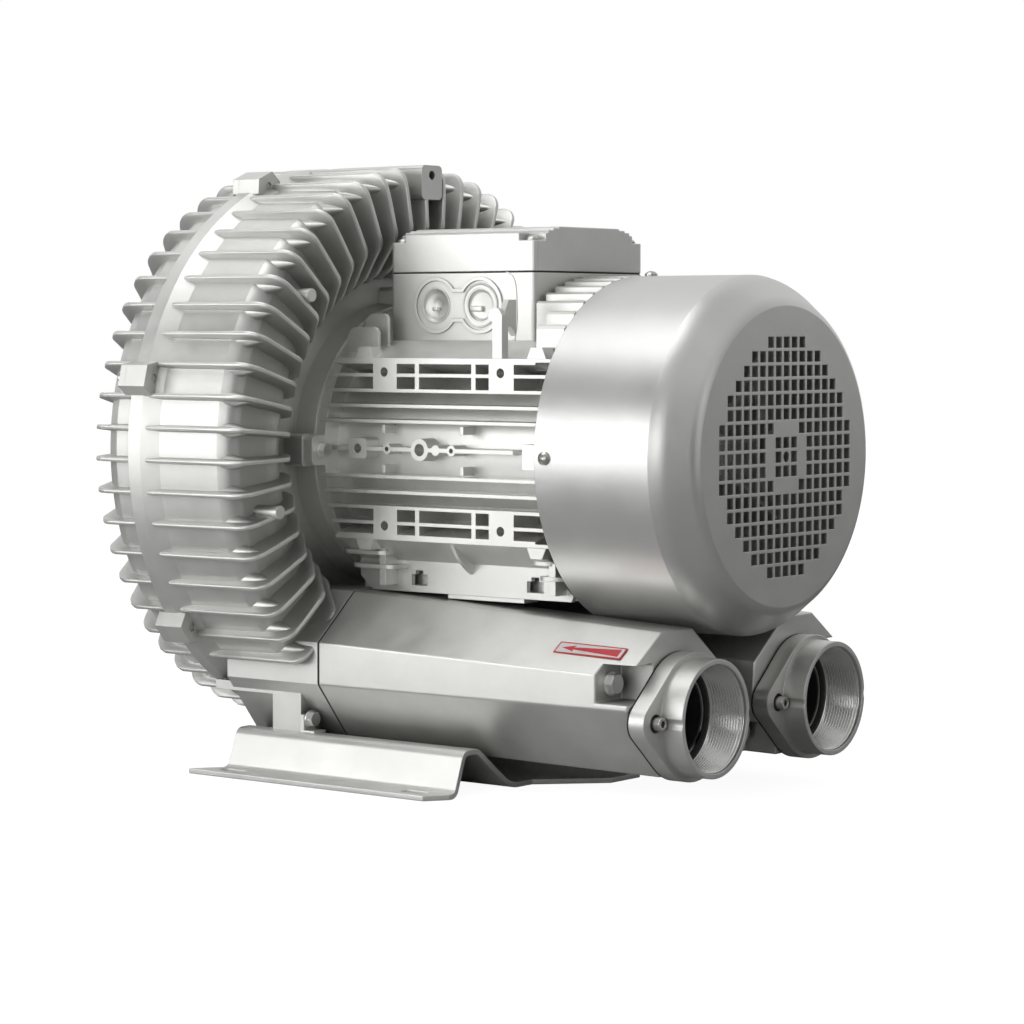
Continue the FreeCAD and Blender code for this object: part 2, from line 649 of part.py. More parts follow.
def side_fins():
    """Fins, pads, webs and bosses of the near side of the frame."""
    start = FLANGE_FACE + 11
    end = FRAME_END + 18
    fins = []
    offsets = [(k + 1.8) * FIN_PITCH for k in range(5)]
    for offset in offsets + [-o for o in offsets]:
        z = SIDE_HEIGHT + offset
        front = FLANGE_FACE + 4 + (abs(offset) - offsets[0]) * 0.32
        fins.append(box(front, end, -FIN_TIP, -40, z - FIN_THICKNESS / 2, z + FIN_THICKNESS / 2))
    top = offsets[4] + FIN_THICKNESS / 2
    bottom = offsets[2] - FIN_THICKNESS / 2
    for x in (FLANGE_FACE + 55, FLANGE_FACE + 162.3):
        for low, high in ((bottom, top), (-top, -bottom)):
            fins.append(box(x, x + 22.5, -FIN_TIP, -40, SIDE_HEIGHT + low, SIDE_HEIGHT + high))
    for x in (FLANGE_FACE + 94.5, FLANGE_FACE + 146.5):
        for low, high in ((bottom, top), (-top, -bottom)):
            fins.append(box(x, x + 4, -FIN_TIP, -40, SIDE_HEIGHT + low, SIDE_HEIGHT + high))
    fins.append(box(start, FLANGE_FACE + 184, -FIN_TIP, -80, SIDE_HEIGHT - 1.6, SIDE_HEIGHT + 1.6))
    fins.append(rounded_box(FLANGE_FACE + 31.5, FLANGE_FACE + 48.5, -FIN_TIP, -80,
                            SIDE_HEIGHT - 7.5, SIDE_HEIGHT + 7.5, 2.5, "y"))
    for x, radius in ((FLANGE_FACE + 67.8, 3.8), (FLANGE_FACE + 98.5, 8.2), (FLANGE_FACE + 113.5, 3.9),
                      (FLANGE_FACE + 128, 4.0)):
        fins.append(rod((x, -80, SIDE_HEIGHT), (0, -1, 0), radius, FIN_TIP - 80))
    for x in (FLANGE_FACE + 61, FLANGE_FACE + 134):
        for offset in (14.5, -14.5):
            fins.append(box(x, x + 3, -FIN_TIP + 3, -80, SIDE_HEIGHT + offset - 3, SIDE_HEIGHT + offset + 3))
    for x in (FLANGE_FACE + 37, FLANGE_FACE + 195):
        for up in (1, -1):
            foot = SIDE_HEIGHT + up * (top - 1)
            tip = SIDE_HEIGHT + up * (top + 8)
            fins.append(plate_y([(x, foot), (x + 4, tip), (x + 14, tip), (x + 18, foot)],
                                -FIN_TIP + 1, -FIN_TIP + 13))
    return fins


def side_holes():
    top = 5.8 * FIN_PITCH
    holes = []
    for x in (FLANGE_FACE + 65.5, FLANGE_FACE + 172.8):
        for offset in (top - 9, 9 - top):
            holes.append(rod((x, -FIN_TIP - 1, SIDE_HEIGHT + offset), (0, 1, 0), 3.4, 17))
    for x, radius in ((FLANGE_FACE + 40, 3.4), (FLANGE_FACE + 67.8, 1.7), (FLANGE_FACE + 98.5, 4.4),
                      (FLANGE_FACE + 128, 1.7)):
        holes.append(rod((x, -FIN_TIP - 1, SIDE_HEIGHT), (0, 1, 0), radius, 15))
    return holes


def motor_frame():
    deck = SHAFT_HEIGHT + BOX_SKIRT
    bottom_deck = 2 * SHAFT_HEIGHT - deck
    edge = SIDE_HEIGHT + 5.8 * FIN_PITCH
    low_edge = 2 * SIDE_HEIGHT - edge
    start = FLANGE_FACE + 20
    end = FRAME_END - 8
    parts = [ring(FLANGE_FACE, FLANGE_FACE + FLANGE_THICKNESS, SHIELD_RADIUS + 2)]
    parts.append(plate_x([(-FIN_TIP, edge), (-BOX_HALF_WIDTH - 2, deck), (BOX_HALF_WIDTH + 2, deck), (FIN_TIP, edge),
                          (FIN_TIP, edge - 3), (0, edge - 30), (-FIN_TIP, edge - 3)], start, end))
    parts.append(plate_x([(-FIN_TIP, low_edge), (-BOX_HALF_WIDTH - 12, bottom_deck),
                          (BOX_HALF_WIDTH + 12, bottom_deck), (FIN_TIP, low_edge), (FIN_TIP, low_edge + 3),
                          (0, low_edge + 30), (-FIN_TIP, low_edge + 3)], start, end))
    pedestal_top = SHAFT_HEIGHT + FRAME_OUTER + 2.5
    parts.append(box(BOX_START + BOX_WALL + 1, BOX_END - BOX_WALL - 1, -40, 40, deck - 20, pedestal_top))
    skirt_low = bottom_deck - 23
    skirt = plate_y([(start, bottom_deck + 4), (end, bottom_deck + 4), (end, bottom_deck - 6),
                     (COWL_START - 2, skirt_low + 4), (COWL_START - 4, skirt_low), (start + 12, skirt_low),
                     (start, skirt_low + 10)], -BOX_HALF_WIDTH - 12, -BOX_HALF_WIDTH - 8)
    window = box(start + 49, start + 64, -100, 0, skirt_low + 5, skirt_low + 13)
    window_notch = box(start + 53, start + 60, -100, 0, skirt_low + 5, skirt_low + 16)
    window = window.fuse(window_notch)
    window_two = window.copy()
    window_two.translate(vec(107, 0, 0))
    parts += both_sides([skirt.cut(window.fuse(window_two))])
    gusset_x = start + 104
    gusset_bend = (-BOX_HALF_WIDTH - 23.5, low_edge - 17.3)
    gusset = plate_x([(-FIN_TIP + 2, low_edge + 1), (gusset_bend, (-BOX_HALF_WIDTH - 11, skirt_low + 15)),
                      (-BOX_HALF_WIDTH - 9, bottom_deck + 4)], gusset_x, gusset_x + 3)
    post_y = -BOX_HALF_WIDTH - 26
    post = box(start + 30, start + 36, post_y, post_y + 18, skirt_low + 5, bottom_deck + 14)
    rear_post = box(end + 2, end + 8, post_y, post_y + 18, skirt_low + 5, bottom_deck + 5)
    shelves = []
    for x0, x1, z in ((start - 5, start + 38, 165), (start + 3, start + 46, 155), (end - 15, end + 8, 164),
                      (end - 8, end + 14, 153.3)):
        shelves.append(rounded_box(x0, x1, post_y - 2, post_y + 24, z - 1.5, z + 1.5, 8, "z"))
    hook = plate_y([(HOOK_START, edge - 2), (HOOK_START, edge + 27), (HOOK_START - 3.2, edge + 29),
                    ((HOOK_START - 2.5, edge + 35), (HOOK_START + 2, edge + 37)), (HOOK_END - 3, edge + 36.5),
                    (HOOK_END, edge + 32), (HOOK_END, edge - 2)], -FIN_TIP + 1, -FIN_TIP + 8)
    beak = plate_x([(-FIN_TIP + 5, edge + 16), (-FIN_TIP + 5, edge + 36), (-FIN_TIP + 9, edge + 43),
                    (-FIN_TIP + 17.5, edge + 43), (-FIN_TIP + 17.5, edge + 17.5), (-FIN_TIP + 12, edge + 24),
                    (-FIN_TIP + 8, edge + 24)], HOOK_END - 5, HOOK_END)
    low_pad = box(FLANGE_FACE + 102, FLANGE_FACE + 172, -BOX_HALF_WIDTH - 10, -BOX_HALF_WIDTH + 6,
                  skirt_low - 3.3, skirt_low + 1)
    parts += both_sides([gusset, post, rear_post, hook, beak, low_pad] + shelves)
    upright = []
    for k in range(-8, 9):
        y = k * FIN_PITCH
        beside = abs(y) > BOX_HALF_WIDTH + 5
        front_start = BOX_END + 20 if beside else BOX_END + 3
        upright.append(box(front_start, FRAME_END + 18, y - FIN_THICKNESS / 2, y + FIN_THICKNESS / 2,
                           SHAFT_HEIGHT + 60, SHAFT_HEIGHT + 130))
        if beside:
            foot = SHAFT_HEIGHT + 60
            top = SHAFT_HEIGHT + math.sqrt(FIN_CIRCLE ** 2 - y ** 2)
            x0 = FLANGE_FACE + 18 + (BOX_HALF_WIDTH + 24 - abs(y)) * 0.7
            x1 = BOX_START + 9
            parts.append(plate_y([(x0, foot), (x0, top - 8), ((x0 + 2.5, top - 2.5), (x0 + 8, top)), (x1 - 5, top),
                                  ((x1 - 1.5, top - 1.5), (x1, top - 5)), (x1, foot)],
                                 y - FIN_THICKNESS / 2, y + FIN_THICKNESS / 2))
        else:
            parts.append(box(start - 4, FRAME_END + 18, y - FIN_THICKNESS / 2, y + FIN_THICKNESS / 2,
                             SHAFT_HEIGHT - 103.5, SHAFT_HEIGHT - 60))
    parts += [fin.common(ring(0, 400, FIN_CIRCLE)) for fin in upright]
    parts += both_sides(side_fins())
    for quarter in range(4):
        boss = box(FRAME_END - 6, COWL_START + 16, -9, 9, SHAFT_HEIGHT + FRAME_OUTER - 4,
                   SHAFT_HEIGHT + COWL_RADIUS - 4)
        parts.append(turned(boss, 90 * quarter))
    ear = rounded_box(FLANGE_FACE, FLANGE_FACE + FLANGE_THICKNESS, -11, 11, SHAFT_HEIGHT + 80,
                      SHAFT_HEIGHT + BOSS_RADIUS - 4, 4, "x")
    parts += [turned(ear, 90 * quarter) for quarter in range(4)]
    body = ring(FLANGE_FACE, FRAME_END, FRAME_OUTER).multiFuse(parts)
    inside = COWL_RADIUS - COWL_SHEET - 0.3
    body = body.common(box(0, COWL_START - 1, -200, 200, 0, 400).fuse(ring(COWL_START - 2, FRAME_END + 60, inside)))
    cuts = [ring(FLANGE_FACE - 1, FRAME_END + 40, FRAME_BORE)]
    cuts.append(ring(FRAME_END, FRAME_END + 40, FRAME_OUTER + 4))
    cuts.append(rod(((BOX_START + BOX_END) / 2, 0, SHAFT_HEIGHT + 60), (0, 0, 1), 18, 60))
    cuts += both_sides(side_holes())
    for y, z in flange_bolt_places():
        cuts.append(rod_x(FLANGE_FACE - 1, FLANGE_FACE + FLANGE_THICKNESS + 1, y, z, M6[0] + CLEARANCE))
        cuts.append(rod_x(FLANGE_FACE + FLANGE_THICKNESS, FLANGE_FACE + 22, y, z, 8.5))
    for quarter in range(4):
        hole = rod((COWL_START + 9, 0, SHAFT_HEIGHT + COWL_RADIUS - 16), (0, 0, 1), M5[0] + HOLE_FIT, 20)
        cuts.append(turned(hole, 90 * quarter))
        cuts.append(turned(rod_x(FRAME_END - 14, FRAME_END + 1, 0, SHAFT_HEIGHT + FRAME_OUTER - 3.5,
                                 M5[0] + HOLE_FIT), 90 * quarter + 45))
    body = body.cut(cuts[0].multiFuse(cuts[1:]))
    return max(body.Solids, key=lambda solid: solid.Volume)


def flange_bolts():
    seat = FLANGE_FACE + FLANGE_THICKNESS
    return [hex_screw((seat, y, z), (1, 0, 0), M6_HEX, 24) for y, z in flange_bolt_places()]


def fan_end_shield():
    seat = FAN_BEARING["outer"]
    start = FAN_BEARING_START
    end = start + FAN_BEARING["width"] + 2.5
    return spin([
        (start, seat), (start, seat + 8), (FRAME_END, seat + 12), (FRAME_END, FRAME_BORE - 4),
        (FRAME_END - 5, FRAME_BORE - 4), (FRAME_END - 5, FRAME_BORE), (FRAME_END, FRAME_BORE),
        (FRAME_END, FRAME_OUTER + 3), (FRAME_END + 8, FRAME_OUTER + 3), (FRAME_END + 8, FRAME_BORE - 2),
        (end + 5, seat + 8), (end + 5, SHAFT_FAN_SEAT + RUNNING_GAP + 1),
        (end, SHAFT_FAN_SEAT + RUNNING_GAP + 1), (end, seat),
    ])


def fan_end_shield_drilled():
    holes = []
    for quarter in range(4):
        hole = rod_x(FRAME_END - 6, FRAME_END + 9, 0, SHAFT_HEIGHT + FRAME_OUTER - 3.5, M5[0] + CLEARANCE)
        holes.append(turned(hole, 90 * quarter + 45))
    return fan_end_shield().cut(holes[0].multiFuse(holes[1:]))


def fan_end_screws():
    seat = (FRAME_END + 8, 0, SHAFT_HEIGHT + FRAME_OUTER - 3.5)
    screw = socket_screw(seat, (1, 0, 0), (M5[0], 4.25, 5.0), 20)
    return [turned(screw, 90 * quarter + 45) for quarter in range(4)]


def wave_washer():
    start = FAN_BEARING_START + FAN_BEARING["width"]
    return ring(start, start + 2.5, FAN_BEARING["outer"] - 1, FAN_BEARING["outer"] - 6)


def cooling_fan():
    hub_end = FAN_START + 30
    disc = FAN_START + 8
    body = spin([
        (FAN_START, SHAFT_FAN_END), (FAN_START, 26), (disc, 29), (disc, FAN_RADIUS), (disc + 3, FAN_RADIUS),
        (disc + 3, 30), (hub_end, 26), (hub_end, SHAFT_FAN_END),
    ])
    low = SHAFT_HEIGHT + 25
    blade = box(disc + 1, disc + 36, -1.5, 1.5, low, SHAFT_HEIGHT + FAN_RADIUS - 1)
    slope = plate_y([(disc + 3, low - 1), (disc + 37, low - 1), (disc + 37, low + 25)], -5, 5)
    blade = blade.cut(slope.common(box(hub_end + 1, disc + 40, -5, 5, low - 2, low + 30)))
    body = body.multiFuse([turned(blade, 90 + 360.0 * k / FAN_BLADES) for k in range(FAN_BLADES)])
    keyway = box(FAN_START - 1, hub_end + 1, -3, 3, SHAFT_HEIGHT + 11, SHAFT_HEIGHT + SHAFT_FAN_END + 2.8)
    return body.cut(keyway)


def fan_circlip():
    start = FAN_START + 30.4
    clip = ring(start, start + 1.5, SHAFT_FAN_END + 3.5, SHAFT_FAN_END - 1.1)
    gap = box(start - 1, start + 3, -4, 4, SHAFT_HEIGHT + 5, SHAFT_HEIGHT + 25)
    return clip.cut(gap)


def cowl_profile(inset):
    """Outer (x, radius) steps of the cowl, or the same line moved inwards."""
    face = COWL_FACE - inset
    rim = COWL_RADIUS - inset
    nose = COWL_FACE_RADIUS - inset * 0.5
    return [(COWL_START, rim), (COWL_FACE - 29, rim), ((COWL_FACE - 22, rim - 2.6), (COWL_FACE - 16, rim - 6.6)),
            (COWL_FACE - 6 - inset * 0.4, nose + 7.5), ((COWL_FACE - 2 - inset * 0.8, nose + 3.8), (face, nose)),
            (face, 0)]


def fan_cowl():
    outside = cowl_profile(0)
    inside = cowl_profile(COWL_SHEET)
    solid = spin(outside + [(COWL_START, 0)])
    hollow = spin(inside + [(COWL_START, 0)])
    shell = solid.cut(hollow)
    face = COWL_FACE
    holes = []
    half = GRILLE_HOLE / 2
    for row in range(-8, 9):
        reach = GRILLE_ROWS[abs(row)]
        for column in range(-reach, reach + 1):
            hub_cell = max(abs(row), abs(column)) == 2 and abs(row) != abs(column)
            y = column * GRILLE_PITCH
            z = SHAFT_HEIGHT + row * GRILLE_PITCH
            if row == 0 and column == 0:
                holes.append(rod_x(face - 4, face + 2, 0, SHAFT_HEIGHT, half))
            elif not hub_cell:
                holes.append(box(face - 4, face + 2, y - half, y + half, z - half, z + half))
    for quarter in range(4):
        hole = rod((COWL_START + 9, 0, SHAFT_HEIGHT + COWL_RADIUS - 5), (0, 0, 1), M5[0] + 0.3, 10)
        holes.append(turned(hole, 90 * quarter))
    return shell.cut(Part.makeCompound(holes))


def cowl_screws():
    seat = (COWL_START + 9, 0, SHAFT_HEIGHT + COWL_RADIUS + 0.02)
    screw = pan_screw(seat, (0, 0, 1), M5, 12)
    return [turned(screw, 90 * quarter) for quarter in range(4)]


def box_screw_places():
    places = []
    for x in (BOX_START + 7.5, BOX_END - 7.5):
        for y in (-BOX_HALF_WIDTH + 7.2, BOX_HALF_WIDTH - 7.2):
            places.append((x, y))
    return places


def terminal_box():
    low = SHAFT_HEIGHT + BOX_SKIRT
    floor = SHAFT_HEIGHT + FRAME_OUTER + 2.5
    top = SHAFT_HEIGHT + BOX_SPLIT
    half = BOX_HALF_WIDTH
    wall = BOX_WALL
    body = rounded_box(BOX_START, BOX_END, -half, half, low, top, 4, "z")
    inner = (BOX_START + wall, BOX_END - wall, wall - half, half - wall)
    hollow = rounded_box(*inner, floor + 4, top + 1, 2, "z")
    recess = rounded_box(*inner, low - 1, floor, 2, "z")
    posts = [rod((x, y, floor + 3), (0, 0, 1), 6, top - floor - 3) for x, y in box_screw_places()]
    barrel = ring(BOX_START - 1, BOX_END + 1, FRAME_OUTER + SEAT_GAP)
    body = body.cut(recess.fuse(barrel)).cut(hollow.cut(posts[0].multiFuse(posts[1:])))
    middle = (BOX_START + BOX_END) / 2
    entry = SHAFT_HEIGHT + 106.3
    rings = []
    for x in KNOCKOUTS:
        rings.append(rod((x, -half - 1.4, entry), (0, 1, 0), KNOCKOUT_RADIUS, 1.5))
    neck = box(KNOCKOUTS[0], KNOCKOUTS[1], -half - 1.4, -half + 0.1, entry - 12, entry + 12)
    outer = neck.multiFuse(rings)
    inner = [rod((x, -half - 2, entry), (0, 1, 0), KNOCKOUT_RADIUS - 2.4, 2) for x in KNOCKOUTS]
    inner.append(box(KNOCKOUTS[0], KNOCKOUTS[1], -half - 2, -half, entry - 9.6, entry + 9.6))
    rings = [outer.cut(inner[0].multiFuse(inner[1:]))]
    body = body.multiFuse(rings)
    cuts = [rod((x, y, top - 16), (0, 0, 1), M5[0] + HOLE_FIT, 17) for x, y in box_screw_places()]
    cuts.append(rod((middle, 0, floor - 1), (0, 0, 1), 18, 10))
    for x in KNOCKOUTS:
        cuts.append(rod((x, -half - 3, entry), (0, 1, 0), PLUG_RADIUS, wall + 5))
    return body.cut(cuts[0].multiFuse(cuts[1:]))


def cable_entry_plugs():
    entry = SHAFT_HEIGHT + 106.3
    plugs = []
    for x in KNOCKOUTS:
        plug = rod((x, -BOX_HALF_WIDTH - 0.6, entry), (0, 1, 0), PLUG_RADIUS - 0.05, BOX_WALL + 0.4)
        bar = rod((x - 3, -BOX_HALF_WIDTH - 0.6, entry), (0, -1, 0), 1.3, 1.2)
        bar = bar.fuse(box(x - 3, x + 3, -BOX_HALF_WIDTH - 1.8, -BOX_HALF_WIDTH - 0.5, entry - 1.3, entry + 1.3))
        plugs.append(plug.fuse(bar))
    return plugs


def lid_gasket():
    low = SHAFT_HEIGHT + BOX_SPLIT
    half = BOX_HALF_WIDTH - 0.6
    body = rounded_box(BOX_START + 0.6, BOX_END - 0.6, -half, half, low, low + GASKET, 3.4, "z")
    hole = rounded_box(BOX_START + 14, BOX_END - 14, 13 - half, half - 13, low - 1, low + 2, 4, "z")
    holes = [rod((x, y, low - 1), (0, 0, 1), M5[0] + CLEARANCE, 3) for x, y in box_screw_places()]
    return body.cut(hole.multiFuse(holes))


def terminal_box_lid():
    """Lid with steps along X and a notch for the screw at each corner."""
    low = SHAFT_HEIGHT + BOX_SPLIT + GASKET
    top = SHAFT_HEIGHT + BOX_TOP
    half = BOX_HALF_WIDTH
    ledge = SHAFT_HEIGHT + BOX_LEDGE
    body = rounded_box(BOX_START, BOX_END, -half, half, low, ledge + LID_STEPS[0][1], 4, "z")
    steps = []
    for inset, rise in LID_STEPS[1:] + ((LID_CREST_INSET, BOX_TOP - BOX_LEDGE),):
        steps.append(box(BOX_START, BOX_END, inset - half, half - inset, ledge, ledge + rise))
    body = body.multiFuse(steps)
    cuts = [rounded_box(BOX_START + 16, BOX_END - 16, 16 - half, half - 16, low - 1, top - 6, 3, "z")]
    deep, wide = LID_NOTCH
    for x0, x1 in ((BOX_START - 9, BOX_START + deep), (BOX_END - deep, BOX_END + 9)):
        for y0, y1 in ((-half - 9, wide - half), (half - wide, half + 9)):
            cuts.append(rounded_box(x0, x1, y0, y1, ledge, top, 3, "z"))
    for x, y in box_screw_places():
        cuts.append(rod((x, y, low - 1), (0, 0, 1), M5[0] + CLEARANCE, 40))
    return body.cut(cuts[0].multiFuse(cuts[1:]))


def lid_screws():
    seat = SHAFT_HEIGHT + BOX_LEDGE
    return [pan_screw((x, y, seat), (0, 0, 1), M5, 30) for x, y in box_screw_places()]


def terminal_block():
    floor = SHAFT_HEIGHT + FRAME_OUTER + 6.5
    middle = (BOX_START + BOX_END) / 2
    body = box(middle - 32, middle + 32, 20, 52, floor, floor + 10)
    walls = [box(middle - 32 + 20.7 * k, middle - 29.5 + 20.7 * k, 20, 52, floor + 9, floor + 16)
             for k in range(4)]
    body = body.multiFuse(walls)
    holes = [rod((x, y, floor + 5), (0, 0, 1), 2.6, 10) for x, y in stud_places()]
    return body.cut(holes[0].multiFuse(holes[1:]))


def stud_places():
    middle = (BOX_START + BOX_END) / 2
    return [(middle + 20.7 * k, y) for k in (-1, 0, 1) for y in (28, 44)]


def terminal_studs():
    floor = SHAFT_HEIGHT + FRAME_OUTER + 6.5
    studs = []
    for x, y in stud_places():
        stud = rod((x, y, floor + 5), (0, 0, 1), 2.5, 13)
        studs.append(stud.fuse(hexagon((x, y, floor + 10), (0, 0, 1), 8, 4)))
    return studs


def silencer_housing(side):
    front = PORT_FLANGE_BACK - GASKET
    centre = (side * PORT_SPREAD, PORT_HEIGHT)
    body = Part.makeLoft([section_wire(SEAM_SECTION, side, SEAM), section_wire(FRONT_SECTION, side, front)],
                         True, True)
    hollow = Part.makeLoft([section_wire(SEAM_SECTION, side, SEAM - 0.01, SILENCER_WALL),
                            section_wire(FRONT_SECTION, side, front - 6, SILENCER_WALL)], True, True)
    keep = bolt_posts(side, SEAM - 1, front, 8)
    for offset in (-PORT_SCREW_OFFSET, PORT_SCREW_OFFSET):
        keep.append(rod_x(front - 22, front, centre[0] + offset, centre[1], 10))
    for place, size in zip(bolt_places(side), (17, 13)):
        keep.append(box(front - POCKET_DEPTH - 6, front, place[0] - size, place[0] + size,
                        place[1] - size, place[1] + size))
    body = body.cut(hollow.cut(keep[0].multiFuse(keep[1:])))
    cuts = [rod_x(front - POCKET_DEPTH - 8, front + 1, centre[0], centre[1], LINER_TUBE_RADIUS + LINER_TUBE_WALL)]
    for y, z in bolt_places(side):
        cuts.append(rod_x(SEAM - 1, front - POCKET_DEPTH + 1, y, z, M8[0] + CLEARANCE))
    (upper_y, upper_z), (lower_y, lower_z) = bolt_places(side)
    outward = sorted((upper_y - side * 13, upper_y + side * 40))
    cuts.append(box(front - POCKET_DEPTH, front + 1, *outward, upper_z - 12, upper_z + 14))
    inward = sorted((lower_y + side * 10, lower_y - side * 40))
    cuts.append(box(front - POCKET_DEPTH, front + 1, *inward, lower_z - 40, lower_z + 10))
    for offset in (-PORT_SCREW_OFFSET, PORT_SCREW_OFFSET):
        cuts.append(rod_x(front - 16, front + 1, centre[0] + offset, centre[1], PORT_SCREW[0] + HOLE_FIT))
    for u, z in ((-34, 36), (34, -36)):
        cuts.append(rod_x(front - 12, front + 1, side * (PORT_SPREAD - u), PORT_HEIGHT + z, 3.0))
    return max(body.cut(cuts[0].multiFuse(cuts[1:])).Solids, key=lambda solid: solid.Volume)


def silencer_bolts():
    seat = PORT_FLANGE_BACK - GASKET - POCKET_DEPTH
    length = seat - SEAM + 22
    return [hex_screw((seat, y, z), (1, 0, 0), M8_HEX, length) for side in (-1, 1) for y, z in bolt_places(side)]


def seam_gasket(side):
    face = Part.Face(section_wire(SEAM_SECTION, side, SEAM - GASKET, 0.5))
    body = face.extrude(vec(GASKET, 0, 0))
    inner = Part.Face(section_wire(SEAM_SECTION, side, SEAM - GASKET - 1, SILENCER_WALL))
    hollow = inner.extrude(vec(GASKET + 2, 0, 0))
    keep = bolt_posts(side, SEAM - 3, SEAM + 2, 8)
    holes = [rod_x(SEAM - 3, SEAM + 2, y, z, M8[0] + CLEARANCE) for y, z in bolt_places(side)]
    return body.cut(hollow.cut(keep[0].multiFuse(keep[1:]))).cut(holes[0].fuse(holes[1]))


def perforated_tube(side):
    front = PORT_FLANGE_BACK - GASKET
    y = side * PORT_SPREAD
    tube = rod_x(SEAM + 6, front, y, PORT_HEIGHT, LINER_TUBE_RADIUS + LINER_TUBE_WALL - 0.05)
    tube = tube.cut(rod_x(SEAM + 5, front + 1, y, PORT_HEIGHT, LINER_TUBE_RADIUS))
    holes = []
    for k in range(10):
        for angle in (0, 45, 90, 135):
            turn = math.radians(angle + 22.5 * (k % 2))
            toward = (0, math.cos(turn), math.sin(turn))
            start = (SEAM + 28 + 22 * k, y - 50 * toward[1], PORT_HEIGHT - 50 * toward[2])
            holes.append(rod(start, toward, 4, 100))
    return tube.cut(Part.makeCompound(holes))


def foam_liner(side):
    front = PORT_FLANGE_BACK - GASKET
    inset = SILENCER_WALL + LINER_GAP
    body = Part.makeLoft([section_wire(SEAM_SECTION, side, SEAM + 1, inset),
                          section_wire(FRONT_SECTION, side, front - POCKET_DEPTH - 8, inset)], True, True)
    cuts = [rod_x(SEAM, front, side * PORT_SPREAD, PORT_HEIGHT, LINER_TUBE_RADIUS + LINER_TUBE_WALL + 0.3)]
    cuts += bolt_posts(side, SEAM, front, 8.4)
    return max(body.cut(cuts[0].multiFuse(cuts[1:])).Solids, key=lambda solid: solid.Volume)


def rhombus(side, x0, x1):
    """Two-eared plate round a port: tangent lines between the round middle and the ears."""
    y = side * PORT_SPREAD
    big = COLLAR_RADIUS + 3.7
    small = 14.0
    reach = PORT_SCREW_OFFSET + 0.3
    turn = math.acos((big - small) / reach)
    corners = []
    for radius, middle in ((big, 0), (small, reach)):
        corners.append((middle + radius * math.cos(turn), radius * math.sin(turn)))
    points = [(u, v) for u, v in corners] + [(u, -v) for u, v in reversed(corners)]
    points += [(-u, -v) for u, v in corners] + [(-u, v) for u, v in reversed(corners)]
    plate = plate_x([(y + u, PORT_HEIGHT + v) for u, v in points], x0, x1)
    ends = [rod_x(x0, x1, y + offset, PORT_HEIGHT, small) for offset in (-reach, reach)]
    return plate.multiFuse(ends + [rod_x(x0, x1, y, PORT_HEIGHT, big)])


def port_flange(side):
    y = side * PORT_SPREAD
    back = PORT_FLANGE_BACK
    face = back + PORT_FLANGE_THICKNESS
    body = rhombus(side, back, face).fuse(rod_x(back, PORT_FACE, y, PORT_HEIGHT, COLLAR_RADIUS))
    cuts = [rod_x(back - 1, PORT_FACE + 1, y, PORT_HEIGHT, PORT_THREAD_RADIUS)]
    for offset in (-PORT_SCREW_OFFSET, PORT_SCREW_OFFSET):
        cuts.append(rod_x(back - 1, face + 1, y + offset, PORT_HEIGHT, PORT_SCREW[0] + CLEARANCE))
        cuts.append(rod_x(face - 4, PORT_FACE + 1, y + offset, PORT_HEIGHT, PORT_SEAT_RADIUS))
    return body.cut(cuts[0].multiFuse(cuts[1:])).removeSplitter()


def port_gasket(side):
    back = PORT_FLANGE_BACK
    y = side * PORT_SPREAD
    body = rhombus(side, back - GASKET, back)
    cuts = [rod_x(back - 2, back + 1, y, PORT_HEIGHT, LINER_TUBE_RADIUS + 3)]
    for offset in (-PORT_SCREW_OFFSET, PORT_SCREW_OFFSET):
        cuts.append(rod_x(back - 2, back + 1, y + offset, PORT_HEIGHT, PORT_SCREW[0] + CLEARANCE))
    return body.cut(cuts[0].multiFuse(cuts[1:])).removeSplitter()


def port_screws():
    seat = PORT_FLANGE_BACK + PORT_FLANGE_THICKNESS - 4
    screws = []
    for side in (-1, 1):
        for offset in (-PORT_SCREW_OFFSET, PORT_SCREW_OFFSET):
            place = (seat, side * PORT_SPREAD + offset, PORT_HEIGHT)
            screws.append(socket_screw(place, (1, 0, 0), PORT_SCREW, 22))
    return screws


def bent_line(points, radii, side, thickness):
    """Line beside a bent sheet's middle line, with its bends as tangent arcs."""
    shifted = []
    count = len(points)
    normals = []
    for k in range(count - 1):
        dy = points[k + 1][0] - points[k][0]
        dz = points[k + 1][1] - points[k][1]
        size = math.hypot(dy, dz)
        normals.append((-dz / size, dy / size))
    half = side * thickness / 2
    for k in range(count):
        before = normals[max(k - 1, 0)]
        after = normals[min(k, count - 2)]
        scale = half / (1 + before[0] * after[0] + before[1] * after[1])
        shifted.append((points[k][0] + (before[0] + after[0]) * scale,
                        points[k][1] + (before[1] + after[1]) * scale))
    steps = [shifted[0]]
    for k in range(1, count - 1):
        steps += bend(shifted[k - 1], shifted[k], shifted[k + 1], radii[k], half)
    steps.append(shifted[-1])
    return steps


def bend(before, corner, after, radius, half):
    """Arc steps for one bend: a start point and an arc to its end."""
    one = (before[0] - corner[0], before[1] - corner[1])
    two = (after[0] - corner[0], after[1] - corner[1])
    one_size = math.hypot(*one)
    two_size = math.hypot(*two)
    one = (one[0] / one_size, one[1] / one_size)
    two = (two[0] / two_size, two[1] / two_size)
    left_turn = one[0] * two[1] - one[1] * two[0] < 0
    radius += -half if left_turn else half
    angle = math.acos(one[0] * two[0] + one[1] * two[1])
    reach = radius / math.tan(angle / 2)
    start = (corner[0] + one[0] * reach, corner[1] + one[1] * reach)
    end = (corner[0] + two[0] * reach, corner[1] + two[1] * reach)
    depth = radius / math.sin(angle / 2) - radius
    middle = ((one[0] + two[0]) / 2, (one[1] + two[1]) / 2)
    size = math.hypot(*middle)
    top = (corner[0] + middle[0] / size * depth, corner[1] + middle[1] / size * depth)
    return [start, (top, end)]


